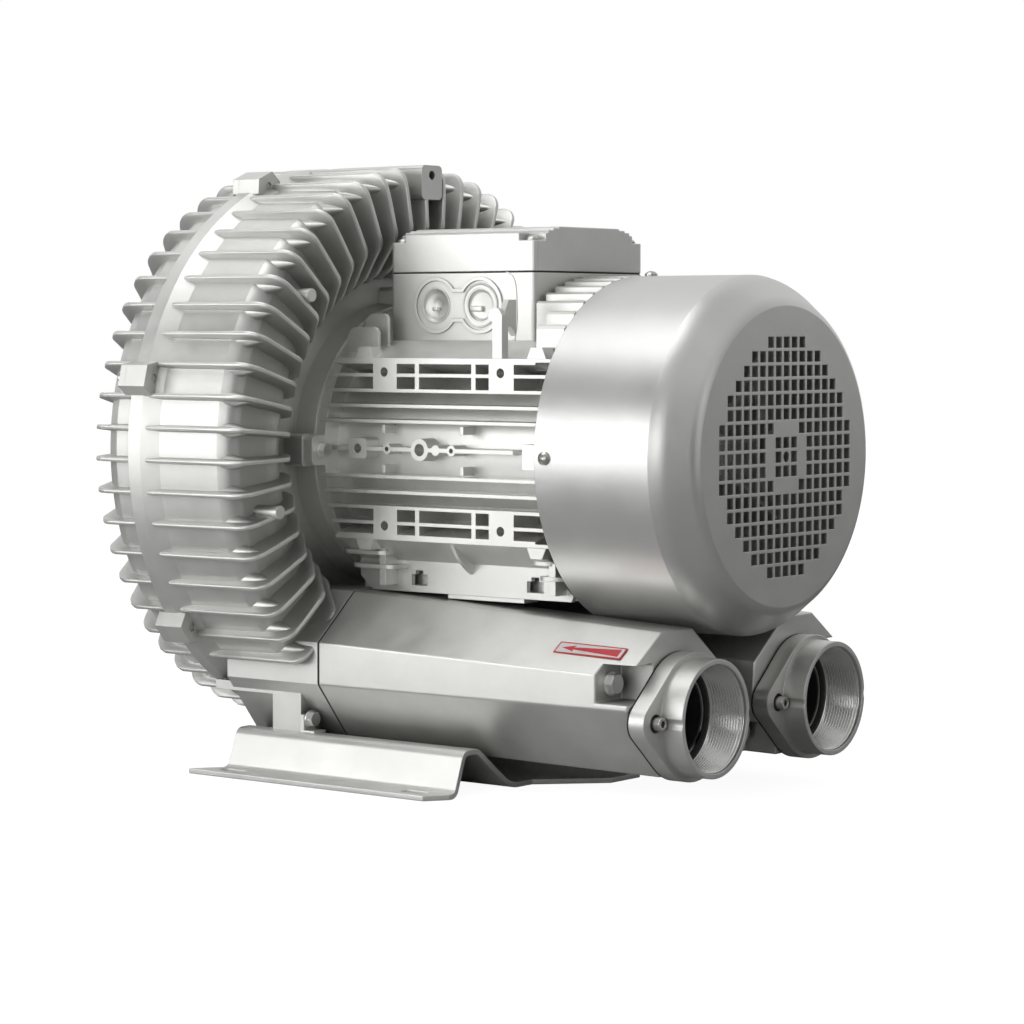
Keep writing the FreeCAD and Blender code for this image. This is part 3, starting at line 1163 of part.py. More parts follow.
def reverse_steps(steps):
    """The same line run backwards."""
    ends = [step[1] if isinstance(step[0], tuple) else step for step in steps]
    result = [ends[-1]]
    for k in range(len(steps) - 1, 0, -1):
        if isinstance(steps[k][0], tuple):
            result.append((steps[k][0], ends[k - 1]))
        else:
            result.append(ends[k - 1])
    return result


def base_frame():
    low = SHEET / 2
    high = RIDGE_HEIGHT - SHEET / 2
    half = [(-BASE_HALF_WIDTH, low), (-BEND_FOOT, low), (-RIDGE_OUTER, high), (-RIDGE_INNER, high), (-VALLEY, low)]
    points = half + [(-y, z) for y, z in reversed(half)]
    radii = [0, 6, 6, 9, 26]
    radii = radii + radii[::-1]
    upper = bent_line(points, radii, 1, SHEET)
    lower = bent_line(points, radii, -1, SHEET)
    sheet = plate_x(upper + reverse_steps(lower), BASE_REAR, BASE_NOSE)
    edge = BASE_HALF_WIDTH + 1
    left = [(BASE_REAR, -edge), (BASE_FRONT - 12, -edge), (BASE_FRONT, -edge + 17), (BASE_FRONT, -59),
            (BASE_NOSE, -18)]
    right = [(x, -y) for x, y in reversed(left)]
    rear = [(BASE_REAR + 20, BEND_FOOT), (BASE_REAR + 20, -BEND_FOOT)]
    sheet = sheet.common(plate_z(left + right + rear, -1, RIDGE_HEIGHT + 1))
    cuts = []
    for x in (SLOT_REAR, SLOT_FRONT):
        for y in (-SLOT_SPREAD, SLOT_SPREAD):
            straight = (SLOT_LENGTH - SLOT_WIDTH) / 2
            slot = box(x - straight, x + straight, y - SLOT_WIDTH / 2, y + SLOT_WIDTH / 2, -1, SHEET + 1)
            ends = [rod((x + s * straight, y, -1), (0, 0, 1), SLOT_WIDTH / 2, SHEET + 2) for s in (-1, 1)]
            cuts.append(slot.multiFuse(ends))
    sheet = sheet.cut(cuts[0].multiFuse(cuts[1:]))
    return sheet.multiFuse(foot_tabs())


def foot_tabs():
    """Upright tabs on the ridges that the foot bolts clamp to the foot lugs."""
    face = FOOT_START + FOOT_LENGTH
    middle = FOOT_BOLT_OFFSET
    tab = box(face, face + SHEET, -middle - 7, -middle + 6.3, RIDGE_HEIGHT - 2, FOOT_BOLT_HEIGHT + 3.5)
    toe = box(face, face + 14, -middle - 7, -middle + 6.3, RIDGE_HEIGHT - 2, RIDGE_HEIGHT + 1.5)
    shank = M6[0] + CLEARANCE
    slot = box(face - 1, face + SHEET + 1, -middle - shank, -middle + shank,
               FOOT_BOLT_HEIGHT, FOOT_BOLT_HEIGHT + 10)
    round_end = rod_x(face - 1, face + SHEET + 1, -middle, FOOT_BOLT_HEIGHT, shank)
    return both_sides([tab.fuse(toe).cut(slot.fuse(round_end))])


def foot_bolts():
    seat = FOOT_START + FOOT_LENGTH + SHEET
    return both_sides([hex_screw((seat, -FOOT_BOLT_OFFSET, FOOT_BOLT_HEIGHT), (1, 0, 0), M6_HEX, 18)])


def flow_arrow_label():
    """Thin label on the upper slope of the near silencer."""
    span = PORT_FLANGE_BACK - GASKET - SEAM
    share = (LABEL_CENTRE - SEAM) / span
    corners = []
    for k in (1, 2):
        u = SEAM_SECTION[k][0] + (FRONT_SECTION[k][0] - SEAM_SECTION[k][0]) * share
        z = SEAM_SECTION[k][1] + (FRONT_SECTION[k][1] - SEAM_SECTION[k][1]) * share
        corners.append((PORT_SPREAD + u, z))
    (outer_y, outer_z), (inner_y, inner_z) = corners
    along_x = vec(span, 0, FRONT_SECTION[1][1] - SEAM_SECTION[1][1]).normalize()
    up_slope = vec(0, outer_y - inner_y, inner_z - outer_z).normalize()
    normal = up_slope.cross(along_x) * -1
    middle = vec(LABEL_CENTRE, -(outer_y * 0.55 + inner_y * 0.45), outer_z * 0.55 + inner_z * 0.45)
    length, width, thickness = LABEL_SIZE
    plate = Part.makeBox(length, width, thickness, vec(-length / 2, -width / 2, LABEL_LIFT))
    across = normal.cross(along_x)
    turn = FreeCAD.Matrix(along_x.x, across.x, normal.x, middle.x, along_x.y, across.y, normal.y, middle.y,
                          along_x.z, across.z, normal.z, middle.z, 0, 0, 0, 1)
    return plate.transformGeometry(turn)


def save(name, shapes):
    """Write one node, a single solid or a group of separate solids."""
    solids = shapes if isinstance(shapes, list) else [shapes]
    shape = solids[0] if len(solids) == 1 else Part.makeCompound(solids)
    shape = shape.copy()
    shape.translate(vec(-FEET_CENTRE, 0, 0))
    shape.exportStep("parts/" + name + ".step")


def main():
    os.makedirs("parts", exist_ok=True)
    save("base_frame", base_frame())
    save("foot_bolts", foot_bolts())
    save("impeller_housing", impeller_housing())
    save("impeller_cover", impeller_cover())
    save("cover_screws", cover_screws())
    save("impeller", impeller())
    save("impeller_key", impeller_key())
    save("impeller_washer", impeller_washer())
    save("impeller_bolt", impeller_bolt())
    save("shaft", shaft())
    save("shaft_seal", shaft_seal())
    save("drive_end_shield", drive_end_shield())
    save("drive_bearing_outer_ring", bearing_outer(DRIVE_BEARING, DRIVE_BEARING_START))
    save("drive_bearing_inner_ring", bearing_inner(DRIVE_BEARING, DRIVE_BEARING_START))
    save("drive_bearing_balls", bearing_balls(DRIVE_BEARING, DRIVE_BEARING_START))
    save("drive_bearing_cage", bearing_cage(DRIVE_BEARING, DRIVE_BEARING_START))
    save("rotor_core", rotor_core())
    save("rotor_end_rings", rotor_end_rings())
    save("stator_core", stator_core())
    save("stator_windings", stator_windings())
    save("motor_frame", motor_frame())
    save("flange_bolts", flange_bolts())
    save("fan_end_shield", fan_end_shield_drilled())
    save("fan_end_screws", fan_end_screws())
    save("fan_bearing_outer_ring", bearing_outer(FAN_BEARING, FAN_BEARING_START))
    save("fan_bearing_inner_ring", bearing_inner(FAN_BEARING, FAN_BEARING_START))
    save("fan_bearing_balls", bearing_balls(FAN_BEARING, FAN_BEARING_START))
    save("fan_bearing_cage", bearing_cage(FAN_BEARING, FAN_BEARING_START))
    save("wave_washer", wave_washer())
    save("cooling_fan", cooling_fan())
    save("fan_key", fan_key())
    save("fan_circlip", fan_circlip())
    save("fan_cowl", fan_cowl())
    save("cowl_screws", cowl_screws())
    save("terminal_box", terminal_box())
    save("cable_entry_plugs", cable_entry_plugs())
    save("lid_gasket", lid_gasket())
    save("terminal_box_lid", terminal_box_lid())
    save("lid_screws", lid_screws())
    save("terminal_block", terminal_block())
    save("terminal_studs", terminal_studs())
    for side, name in ((-1, "inlet"), (1, "outlet")):
        save(name + "_silencer_housing", silencer_housing(side))
        save(name + "_seam_gasket", seam_gasket(side))
        save(name + "_perforated_tube", perforated_tube(side))
        save(name + "_foam_liner", foam_liner(side))
        save(name + "_port_flange", port_flange(side))
        save(name + "_port_gasket", port_gasket(side))
    save("silencer_bolts", silencer_bolts())
    save("port_screws", port_screws())
    save("flow_arrow_label", flow_arrow_label())


main()
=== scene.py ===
import json
import math

import bmesh
import bpy
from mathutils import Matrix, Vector


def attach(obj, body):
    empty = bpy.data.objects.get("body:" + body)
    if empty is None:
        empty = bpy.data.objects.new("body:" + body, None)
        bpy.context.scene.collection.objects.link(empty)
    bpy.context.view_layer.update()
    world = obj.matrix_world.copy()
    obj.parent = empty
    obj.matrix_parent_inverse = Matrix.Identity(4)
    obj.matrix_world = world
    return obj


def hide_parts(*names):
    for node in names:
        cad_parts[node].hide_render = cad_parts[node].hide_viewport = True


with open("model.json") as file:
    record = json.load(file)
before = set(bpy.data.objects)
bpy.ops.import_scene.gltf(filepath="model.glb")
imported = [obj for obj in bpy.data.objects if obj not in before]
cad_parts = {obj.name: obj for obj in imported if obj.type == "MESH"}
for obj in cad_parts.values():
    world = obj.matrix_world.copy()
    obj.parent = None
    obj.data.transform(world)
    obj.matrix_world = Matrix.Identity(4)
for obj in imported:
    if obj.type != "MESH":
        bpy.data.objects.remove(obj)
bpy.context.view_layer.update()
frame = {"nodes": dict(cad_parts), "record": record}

# Lengths of the object are in millimetres, and x counts from the split plane between the
# cover and the housing. place() turns such a point into metres of the frame.
MM = 0.001
FEET_CENTRE = 139.0
SHAFT_HEIGHT = 240.0

# The camera of the photograph: places and clip distances in metres, lens and sensor in mm
CAMERA_PLACE = (1.4711, -1.8303, 0.3298)
CAMERA_TARGET = (0.05079, 0.0, 0.19255)
CAMERA_LENS = 109.1
CAMERA_SENSOR = 36.0
CAMERA_CLIP = (0.05, 50.0)

# The studio, in metres and watts. Reflections see a wall behind the object and a glow above
# it. An edge gives the two ends between which a tone rises.
WHITE = (1.0, 1.0, 1.0, 1.0)
WORLD_DIM = 0.12
WALL_DIRECTION = (-0.5, 0.85, 0.0)
WALL_EDGE = (0.0, 0.6)
WALL_DARK = 0.14
WALL_BRIGHT = 0.75
ABOVE_DIRECTION = (0.25, 0.0, 0.97)
ABOVE_EDGE = (0.1, 0.9)
ABOVE_BRIGHT = 0.55
FLOOR_REACH = 9.0
FLOOR_DROP = 0.0004
FLOOR_TONE = 0.5
FLOOR_ROUGHNESS = 0.9
FLOOR_GLOW = (0.93, 1.0)
FLOOR_GLOW_EDGE = (0.9, 3.0)
MIDDLE = (0.05, 0.0, 0.2)
LIGHTS = (
    ("key", (-0.9, -1.75, 0.42), MIDDLE, (1.7, 1.1), 14.8),
    ("front", (0.7, -2.0, 0.55), MIDDLE, (0.9, 0.9), 5.5),
    ("top", (-0.5, -0.6, 2.3), MIDDLE, (1.6, 1.6), 14.0),
    ("side", (2.2, -0.2, 0.6), MIDDLE, (0.9, 1.4), 2.0),
)


def place(x, y, z):
    return Vector(((x - FEET_CENTRE) * MM, y * MM, z * MM))


def around(angle, x, radius, offset=0.0):
    """Point at an angle round the casing, counted from -Y upwards, moved sideways by an offset."""
    turn = math.radians(angle)
    out = (-math.cos(turn), math.sin(turn))
    side = (math.sin(turn), math.cos(turn))
    return place(x, out[0] * radius + side[0] * offset,
                 SHAFT_HEIGHT + out[1] * radius + side[1] * offset)


# Materials. A noise is (scale, detail, roughness), FINE_GRAIN the last two of them, and a
# wave is (distance in metres, strength).
BEVEL_SAMPLES = 4
FINE_GRAIN = (2.0, 0.6)
METAL_NOISE = (38.0, 4.0, 0.55)
METAL_WAVE = (0.0006, 0.35)
PLASTIC_NOISE = (30.0, 3.0, 0.5)
PLASTIC_TONES = (0.93, 1.05)
PLASTIC_SPREAD = 0.05
NOISE_STOPS = (0.3, 0.7)
# Painted shade: an ambient occlusion mask with these samples, reach in metres, stops and tones
# darkens a metal's base colour in hollows.
SHADE_PAINT_SAMPLES = 2
SHADE_PAINT_REACH = 0.024
SHADE_PAINT_STOPS = (0.1, 0.7)
SHADE_PAINT_TONES = (0.35, 1.0)


def tinted(color, share):
    return tuple(min(1.0, channel * share) for channel in color)


class Nodes:
    """A new material and short ways to add shader nodes to it."""

    def __init__(self, name):
        self.material = bpy.data.materials.new(name)
        self.material.use_nodes = True
        self.tree = self.material.node_tree
        self.shader = self.tree.nodes["Principled BSDF"]

    def add(self, kind, **values):
        node = self.tree.nodes.new(kind)
        for key, value in values.items():
            setattr(node, key, value)
        return node

    def link(self, source, target):
        self.tree.links.new(source, target)

    def noise(self, scale, detail, roughness):
        coordinates = self.add("ShaderNodeTexCoord")
        texture = self.add("ShaderNodeTexNoise")
        texture.inputs["Scale"].default_value = scale
        texture.inputs["Detail"].default_value = detail
        texture.inputs["Roughness"].default_value = roughness
        self.link(coordinates.outputs["Object"], texture.inputs["Vector"])
        return texture.outputs["Fac"]

    def ramp(self, source, colors, stops=NOISE_STOPS):
        ramp = self.add("ShaderNodeValToRGB")
        for element, position, color in zip(ramp.color_ramp.elements, stops, colors):
            element.position = position
            element.color = (*color, 1.0)
        self.link(source, ramp.inputs["Fac"])
        return ramp.outputs["Color"]

    def grey_ramp(self, source, tones, stops=NOISE_STOPS):
        return self.ramp(source, [(tone, tone, tone) for tone in tones], stops)

    def mottled(self, source, color, shares):
        return self.ramp(source, [tinted(color, share) for share in shares])

    def bump(self, source, distance, strength=1.0, normal=None):
        bump = self.add("ShaderNodeBump")
        bump.inputs["Distance"].default_value = distance
        bump.inputs["Strength"].default_value = strength
        self.link(source, bump.inputs["Height"])
        if normal is not None:
            self.link(normal, bump.inputs["Normal"])
        return bump.outputs["Normal"]

    def shaded(self, color):
        """The same colour, darkened in hollows by an ambient occlusion mask: painted shade."""
        openness = self.add("ShaderNodeAmbientOcclusion", samples=SHADE_PAINT_SAMPLES)
        openness.inputs["Distance"].default_value = SHADE_PAINT_REACH
        share = self.grey_ramp(openness.outputs["AO"], SHADE_PAINT_TONES, SHADE_PAINT_STOPS)
        product = self.add("ShaderNodeMix", data_type="RGBA", blend_type="MULTIPLY")
        product.inputs["Factor"].default_value = 1.0
        self.link(color, product.inputs["A"])
        self.link(share, product.inputs["B"])
        return product.outputs["Result"]


def metal(name, color, metallic, rough, spread, grain, depth, mottle=0.05, edge=0.0007,
          painted_crevice_shade=False):
    """Metal with rounded edges, a fine grain, a slow mottle of its tone and an uneven gloss.

    Grain is a scale, and depth and edge are in metres. When asked for, painted shade darkens its
    base colour in hollows.
    """
    nodes = Nodes(name)
    rounded = nodes.add("ShaderNodeBevel", samples=BEVEL_SAMPLES)
    rounded.inputs["Radius"].default_value = edge
    fine = nodes.noise(grain, *FINE_GRAIN)
    slow = nodes.noise(*METAL_NOISE)
    tone = nodes.mottled(slow, color, (1 - mottle, 1 + mottle * 0.5))
    # Painted shade: the base colour is darkened where the surface lies in a hollow.
    if painted_crevice_shade:
        tone = nodes.shaded(tone)
    nodes.link(tone, nodes.shader.inputs["Base Color"])
    gloss = nodes.grey_ramp(slow, (rough - spread, rough + spread))
    nodes.link(gloss, nodes.shader.inputs["Roughness"])
    wavy = nodes.bump(slow, *METAL_WAVE, rounded.outputs["Normal"])
    nodes.link(nodes.bump(fine, depth, 1.0, wavy), nodes.shader.inputs["Normal"])
    nodes.shader.inputs["Metallic"].default_value = metallic
    return nodes.material


def plastic(name, color, rough, grain, depth):
    """Plastic, rubber or foil with a fine grain and a slow mottle of its tone and gloss."""
    nodes = Nodes(name)
    fine = nodes.noise(grain, *FINE_GRAIN)
    slow = nodes.noise(*PLASTIC_NOISE)
    tone = nodes.mottled(slow, color, PLASTIC_TONES)
    nodes.link(tone, nodes.shader.inputs["Base Color"])
    gloss = nodes.grey_ramp(slow, (rough - PLASTIC_SPREAD, rough + PLASTIC_SPREAD))
    nodes.link(gloss, nodes.shader.inputs["Roughness"])
    nodes.link(nodes.bump(fine, depth), nodes.shader.inputs["Normal"])
    return nodes.material


# Cast aluminium carries painted shade, which darkens its colour in hollows.
CAST = metal("cast_aluminium", (0.84, 0.84, 0.815), 0.84, 0.42, 0.05, 2100.0, 0.00007,
             painted_crevice_shade=True)
MOTOR_CAST = metal("motor_cast", (0.82, 0.82, 0.795), 0.78, 0.4, 0.05, 1900.0, 0.00008)
PAINT = metal("silver_paint", (0.76, 0.76, 0.745), 0.8, 0.36, 0.03, 3200.0, 0.00003, 0.02)
SHEET = metal("base_sheet", (0.82, 0.82, 0.80), 0.85, 0.44, 0.04, 2600.0, 0.00003, 0.03)
STEEL = metal("bright_steel", (0.62, 0.61, 0.585), 0.95, 0.27, 0.06, 3800.0, 0.00002)
CORE = metal("core_steel", (0.2, 0.2, 0.21), 0.8, 0.5, 0.06, 3000.0, 0.00004)
BRASS = metal("brass", (0.68, 0.5, 0.2), 1.0, 0.28, 0.05, 3000.0, 0.00002)
RUBBER = plastic("black_rubber", (0.03, 0.03, 0.03), 0.65, 2200.0, 0.00006)
FOAM = plastic("grey_foam", (0.09, 0.09, 0.095), 0.95, 500.0, 0.0012)
FAN_PLASTIC = plastic("fan_plastic", (0.6, 0.6, 0.58), 0.4, 2400.0, 0.00004)
GREY_PLASTIC = plastic("plug_plastic", (0.66, 0.66, 0.64), 0.35, 2400.0, 0.00003)
BLACK_PLASTIC = plastic("black_plastic", (0.03, 0.03, 0.03), 0.45, 2400.0, 0.00003)
WINDING = plastic("copper_winding", (0.33, 0.1, 0.03), 0.3, 900.0, 0.0006)
LABEL_RED = plastic("label_red", (0.72, 0.035, 0.05), 0.32, 1800.0, 0.00002)
THREAD = metal("cut_thread", (0.86, 0.86, 0.845), 0.85, 0.2, 0.05, 2600.0, 0.00002, 0.03,
               edge=0.0001)
LABEL_WHITE = plastic("label_white", (0.86, 0.86, 0.85), 0.3, 1800.0, 0.00002)
TUBE = metal("dark_tube", (0.1, 0.1, 0.1), 0.6, 0.5, 0.05, 2600.0, 0.00003)
BOLT = metal("zinc_bolt", (0.86, 0.86, 0.84), 0.95, 0.3, 0.05, 3600.0, 0.00002)

# A node wears its own material if it has one here, and else the one of its slot
SLOT_MATERIALS = {
    "cast_aluminium": CAST,
    "painted_sheet": PAINT,
    "bright_steel": STEEL,
    "core_steel": CORE,
    "black_rubber": RUBBER,
    "grey_foam": FOAM,
    "grey_plastic": FAN_PLASTIC,
    "black_plastic": BLACK_PLASTIC,
    "brass": BRASS,
    "copper_winding": WINDING,
    "red_label": LABEL_RED,
}
NODE_MATERIALS = {
    "silencer_bolts": BOLT,
    "flange_bolts": BOLT,
    "foot_bolts": BOLT,
    "inlet_perforated_tube": TUBE,
    "outlet_perforated_tube": TUBE,
    "motor_frame": MOTOR_CAST,
    "base_frame": SHEET,
    "cable_entry_plugs": GREY_PLASTIC,
}
NODE_SLOTS = {part["node"]: part["material_slot"] for part in frame["record"]["subparts"]}


def node_material(name):
    return NODE_MATERIALS.get(name, SLOT_MATERIALS[NODE_SLOTS[name]])


def dress_nodes():
    for name, node in frame["nodes"].items():
        material = node_material(name)
        if not node.material_slots:
            node.data.materials.append(material)
        for material_slot in node.material_slots:
            material_slot.material = material


# Pieces. Edges sharper than an angle in degrees are shaded sharp.

def finish_mesh(mesh, angle):
    mesh.validate()
    mesh.shade_smooth()
    mesh.set_sharp_from_angle(angle=math.radians(angle))


def add_piece(name, mesh, material, body="machine"):
    mesh.materials.clear()
    mesh.materials.append(material)
    piece = bpy.data.objects.new(name, mesh)
    bpy.context.scene.collection.objects.link(piece)
    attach(piece, body)
    return piece


# Solids whose sharp edges are rounded, each with the width of its rounding
SOFTENED = (
    ("terminal_box_lid", 0.8),
    ("inlet_silencer_housing", 1.2),
    ("outlet_silencer_housing", 1.2),
    ("inlet_port_flange", 0.6),
    ("outlet_port_flange", 0.6),
    ("base_frame", 0.6),
)
SOFT_MERGE = 2e-6
SOFT_FLAT_ANGLE = 0.7
SOFT_EDGE_ANGLE = 28
SOFT_SEGMENTS = 2


def softened(node, width):
    """Copy of a solid with its sharp edges rounded, which stands for it."""
    source = frame["nodes"][node]
    mesh = bpy.data.meshes.new(node + "_soft")
    bm = bmesh.new()
    bm.from_mesh(source.data)
    bmesh.ops.remove_doubles(bm, verts=bm.verts, dist=SOFT_MERGE)
    bmesh.ops.dissolve_limit(bm, angle_limit=math.radians(SOFT_FLAT_ANGLE), verts=bm.verts,
                             edges=bm.edges)
    sharp = [edge for edge in bm.edges if len(edge.link_faces) == 2
             and edge.calc_face_angle(0.0) > math.radians(SOFT_EDGE_ANGLE)]
    bmesh.ops.bevel(bm, geom=sharp, offset=width * MM, offset_type="OFFSET",
                    segments=SOFT_SEGMENTS, profile=0.5, affect="EDGES", clamp_overlap=False)
    bm.to_mesh(mesh)
    bm.free()
    finish_mesh(mesh, 30.0)
    piece = add_piece(node + "_rounded", mesh, node_material(node))
    weighted = piece.modifiers.new("even_shading", "WEIGHTED_NORMAL")
    weighted.keep_sharp = True
    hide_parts(node)
    return piece


def made_mesh(name, points, faces, angle=35.0):
    """Mesh from points in metres and faces."""
    mesh = bpy.data.meshes.new(name)
    mesh.from_pydata([tuple(point) for point in points], [], faces)
    finish_mesh(mesh, angle)
    return mesh


def smooth_line(points, steps):
    """Catmull-Rom line through points of any dimension."""
    line = []
    last = len(points) - 1
    for k in range(last):
        four = [points[min(max(k + shift, 0), last)] for shift in (-1, 0, 1, 2)]
        for step in range(steps):
            t = step / steps
            weights = (-t ** 3 + 2 * t ** 2 - t, 3 * t ** 3 - 5 * t ** 2 + 2,
                       -3 * t ** 3 + 4 * t ** 2 + t, t ** 3 - t ** 2)
            line.append(tuple(sum(w * p[axis] for w, p in zip(weights, four)) / 2
                              for axis in range(len(points[0]))))
    line.append(tuple(points[last]))
    return line


def strip_faces(rows, width, first=0, closed=False):
    """Quads between rows of points; closed joins each row's end to its start."""
    faces = []
    for row in range(rows - 1):
        for k in range(width if closed else width - 1):
            a = first + row * width + k
            b = first + row * width + (k + 1) % width
            faces.append((a, b, b + width, a + width))
    return faces


# Ribs of the casing. Each station is (x, radius) on the crest and (x, radius) at the root.
# On the housing none stands within BLOCK_ANGLE degrees of the bottom, where the ducts are.
RIB_COUNT = 56
RIB_FIRST_ANGLE = 4.74
BLOCK_ANGLE = 42
RIB_SMOOTHING = 4
RIB_CREST_HALF = 1.65
RIB_CREST_TURNS = (22.5, 45.0, 67.5, 90.0)
RIB_DRAFT = 0.045
RIB_SIDE_DEPTHS = (0.0, 1.5, 3.0, 5.0)
RIB_ROOT_FLARE = 1.3
RIB_FLARE_REACH = 5.0
RIB_FLARE_LIMIT = 2.4
RIB_NARROWEST = 0.35

# Near the split plane the ribs of the housing rise from a narrow tip
TIP_LENGTH = 4.5
TIP_RADIUS = 200
TIP_SHARE = 0.45
HOUSING_RIB = (
    ((14.2, 208.0), (14.6, 205.0)),
    ((15.2, 210.9), (15.6, 205.0)),
    ((17.4, 212.4), (17.6, 205.0)),
    ((21.0, 212.9), (21.0, 205.0)),
    ((50.0, 212.9), (50.0, 205.0)),
    ((90.0, 212.9), (75.0, 204.8)),
    ((96.0, 212.9), (79.0, 204.4)),
    ((101.2, 212.6), (82.0, 203.6)),
    ((105.4, 211.0), (84.6, 201.6)),
    ((108.4, 208.8), (87.0, 199.0)),
    ((110.6, 205.6), (88.8, 196.0)),
    ((112.0, 202.0), (90.0, 192.5)),
    ((112.9, 194.0), (91.2, 187.0)),
    ((113.4, 182.0), (92.2, 179.0)),
    ((113.6, 171.0), (92.6, 170.0)),
    ((112.9, 164.6), (92.0, 163.0)),
    ((111.3, 160.4), (90.6, 158.6)),
    ((108.2, 156.7), (88.6, 154.0)),
    ((98.8, 146.3), (82.0, 145.0)),
    ((89.2, 135.7), (75.6, 137.5)),
    ((82.5, 131.6), (72.4, 134.0)),
    ((76.2, 127.9), (70.4, 131.6)),
)
COVER_RIB = (
    ((0.2, 212.9), (0.2, 205.0)),
    ((-26.0, 212.9), (-18.0, 204.5)),
    ((-33.0, 211.3), (-25.0, 202.0)),
    ((-37.8, 208.0), (-31.0, 196.5)),
    ((-43.4, 198.5), (-38.0, 184.0)),
    ((-50.5, 178.0), (-44.0, 170.0)),
    ((-55.5, 160.0), (-48.0, 156.0)),
    ((-58.0, 141.0), (-47.5, 139.0)),
    ((-55.4, 124.0), (-43.0, 127.0)),
    ((-44.4, 109.8), (-33.0, 117.0)),
    ((-36.3, 102.8), (-20.0, 110.0)),
    ((-16.5, 99.8), (-14.0, 101.0)),
)


def rib_angles(limit):
    """Rib angles, leaving out those within the limit of the bottom of the casing."""
    angles = [RIB_FIRST_ANGLE + 360.0 * k / RIB_COUNT for k in range(RIB_COUNT)]
    return [angle for angle in angles if abs((angle - 90) % 360 - 180) > limit]


def rib_row(crest, root, angle, share):
    """Points across one rib at a station; share narrows it towards a tip."""
    height = math.hypot(crest[0] - root[0], crest[1] - root[1])
    up = ((crest[0] - root[0]) / height, (crest[1] - root[1]) / height)
    half = RIB_CREST_HALF * share
    narrowed = RIB_NARROWEST + (1 - RIB_NARROWEST) * share
    spots = []
    for down in (*(height - depth for depth in RIB_SIDE_DEPTHS), height * 0.5, half):
        near_root = max(0.0, 1 - (height - down) / RIB_FLARE_REACH)
        spread = half + RIB_DRAFT * down + RIB_ROOT_FLARE * near_root ** 2 * share
        spots.append((down, min(spread, half + RIB_FLARE_LIMIT) * narrowed))
    spots.sort(key=lambda spot: -spot[0])
    for turn in map(math.radians, RIB_CREST_TURNS):
        spots.append((half * (1 - math.sin(turn)), half * math.cos(turn)))
    spots += [(down, -spread) for down, spread in reversed(spots[:-1])]
    return [around(angle, crest[0] - up[0] * down, crest[1] - up[1] * down, offset)
            for down, offset in spots]


def rib_set(name, stations, angles, tip):
    """All ribs of one casting as one mesh."""
    line = smooth_line([(*crest, *root) for crest, root in stations], RIB_SMOOTHING)
    start = line[0][0]
    points, faces = [], []
    for angle in angles:
        first = len(points)
        for x, radius, root_x, root_radius in line:
            share = 1.0
            if tip and x < start + TIP_LENGTH and radius > TIP_RADIUS:
                risen = max(0.0, min(1.0, (x - start) / TIP_LENGTH))
                share = TIP_SHARE + (1 - TIP_SHARE) * math.sqrt(risen)
            points += rib_row((x, radius), (root_x, root_radius), angle, share)
        width = (len(points) - first) // len(line)
        faces += strip_faces(len(line), width, first)
        faces.append(tuple(range(first + width - 1, first - 1, -1)))
        faces.append(tuple(range(first + (len(line) - 1) * width, len(points))))
    return add_piece(name, made_mesh(name, points, faces, 40.0), CAST)


def lathe(name, steps, centre, axis, material, turns):
    """Surface of revolution of cast metal from (distance along the axis, radius) steps."""
    along = Vector(axis).normalized()
    side = along.orthogonal().normalized()
    up = along.cross(side)
    points = []
    for distance, radius in steps:
        for k in range(turns):
            turn = 2 * math.pi * k / turns
            offset = side * math.cos(turn) + up * math.sin(turn)
            points.append(place(*centre) + (along * distance + offset * radius) * MM)
    faces = strip_faces(len(steps), turns, closed=True)
    return add_piece(name, made_mesh(name, points, faces, 30.0), material)


def bead(name, path, radius, material, sides=8):
    """Round bead of cast metal along a path of points."""
    points = []
    for k, here in enumerate(path):
        ahead = Vector(path[min(k + 1, len(path) - 1)]) - Vector(path[max(k - 1, 0)])
        side = ahead.cross(Vector((0, 1, 0))).normalized()
        out = side.cross(ahead).normalized()
        for step in range(sides):
            turn = 2 * math.pi * step / sides
            away = side * math.cos(turn) + out * math.sin(turn)
            points.append(place(*here) + away * radius * MM)
    faces = strip_faces(len(path), sides, closed=True)
    return add_piece(name, made_mesh(name, points, faces, 60.0), material)


def rounded_bar(name, xs, ys, zs, round_by, material):
    """Block of cast metal between pairs of limits, with rounded edges."""
    mesh = bpy.data.meshes.new(name)
    bm = bmesh.new()
    verts = [bm.verts.new(place(x, y, z)) for x in xs for y in ys for z in zs]
    bmesh.ops.convex_hull(bm, input=verts)
    bmesh.ops.dissolve_limit(bm, angle_limit=math.radians(1.0), verts=bm.verts, edges=bm.edges)
    bmesh.ops.bevel(bm, geom=list(bm.edges), offset=round_by * MM, offset_type="OFFSET",
                    segments=3, profile=0.5, affect="EDGES", clamp_overlap=True)
    bm.to_mesh(mesh)
    bm.free()
    finish_mesh(mesh, 40.0)
    return add_piece(name, mesh, material)


# Cable entries in the wall of the terminal box. A dish has (distance outwards, radius) steps.
# A bar has its x limits, half its height, and its limits outwards from the wall.
BOX_WALL_Y = -66.2
ENTRY_HEIGHT = 346.3
ENTRY_PLACES = (171.3, 212.4)
DISHES = (
    ((0.0, 13.2), (0.75, 12.9), (0.9, 12.4), (0.75, 11.9), (0.0, 11.5), (-0.9, 11.0),
     (-1.6, 9.8), (-1.9, 8.4), (-2.1, 6.0), (-2.8, 4.4), (-3.2, 3.2), (-3.2, 0.0)),
    ((0.0, 16.4), (0.8, 16.1), (0.95, 15.6), (0.8, 15.1), (0.25, 14.7), (0.2, 12.6),
     (-0.4, 11.9), (-1.5, 11.3), (-2.1, 10.4), (-2.3, 9.0), (-2.4, 0.0)),
)
DISH_TURNS = 48
ENTRY_BARS = (((168.0, 172.8), 1.5, -3.0, 1.2), ((202.6, 213.6), 2.1, -2.4, 0.4))
ENTRY_BAR_DROP = 2.5
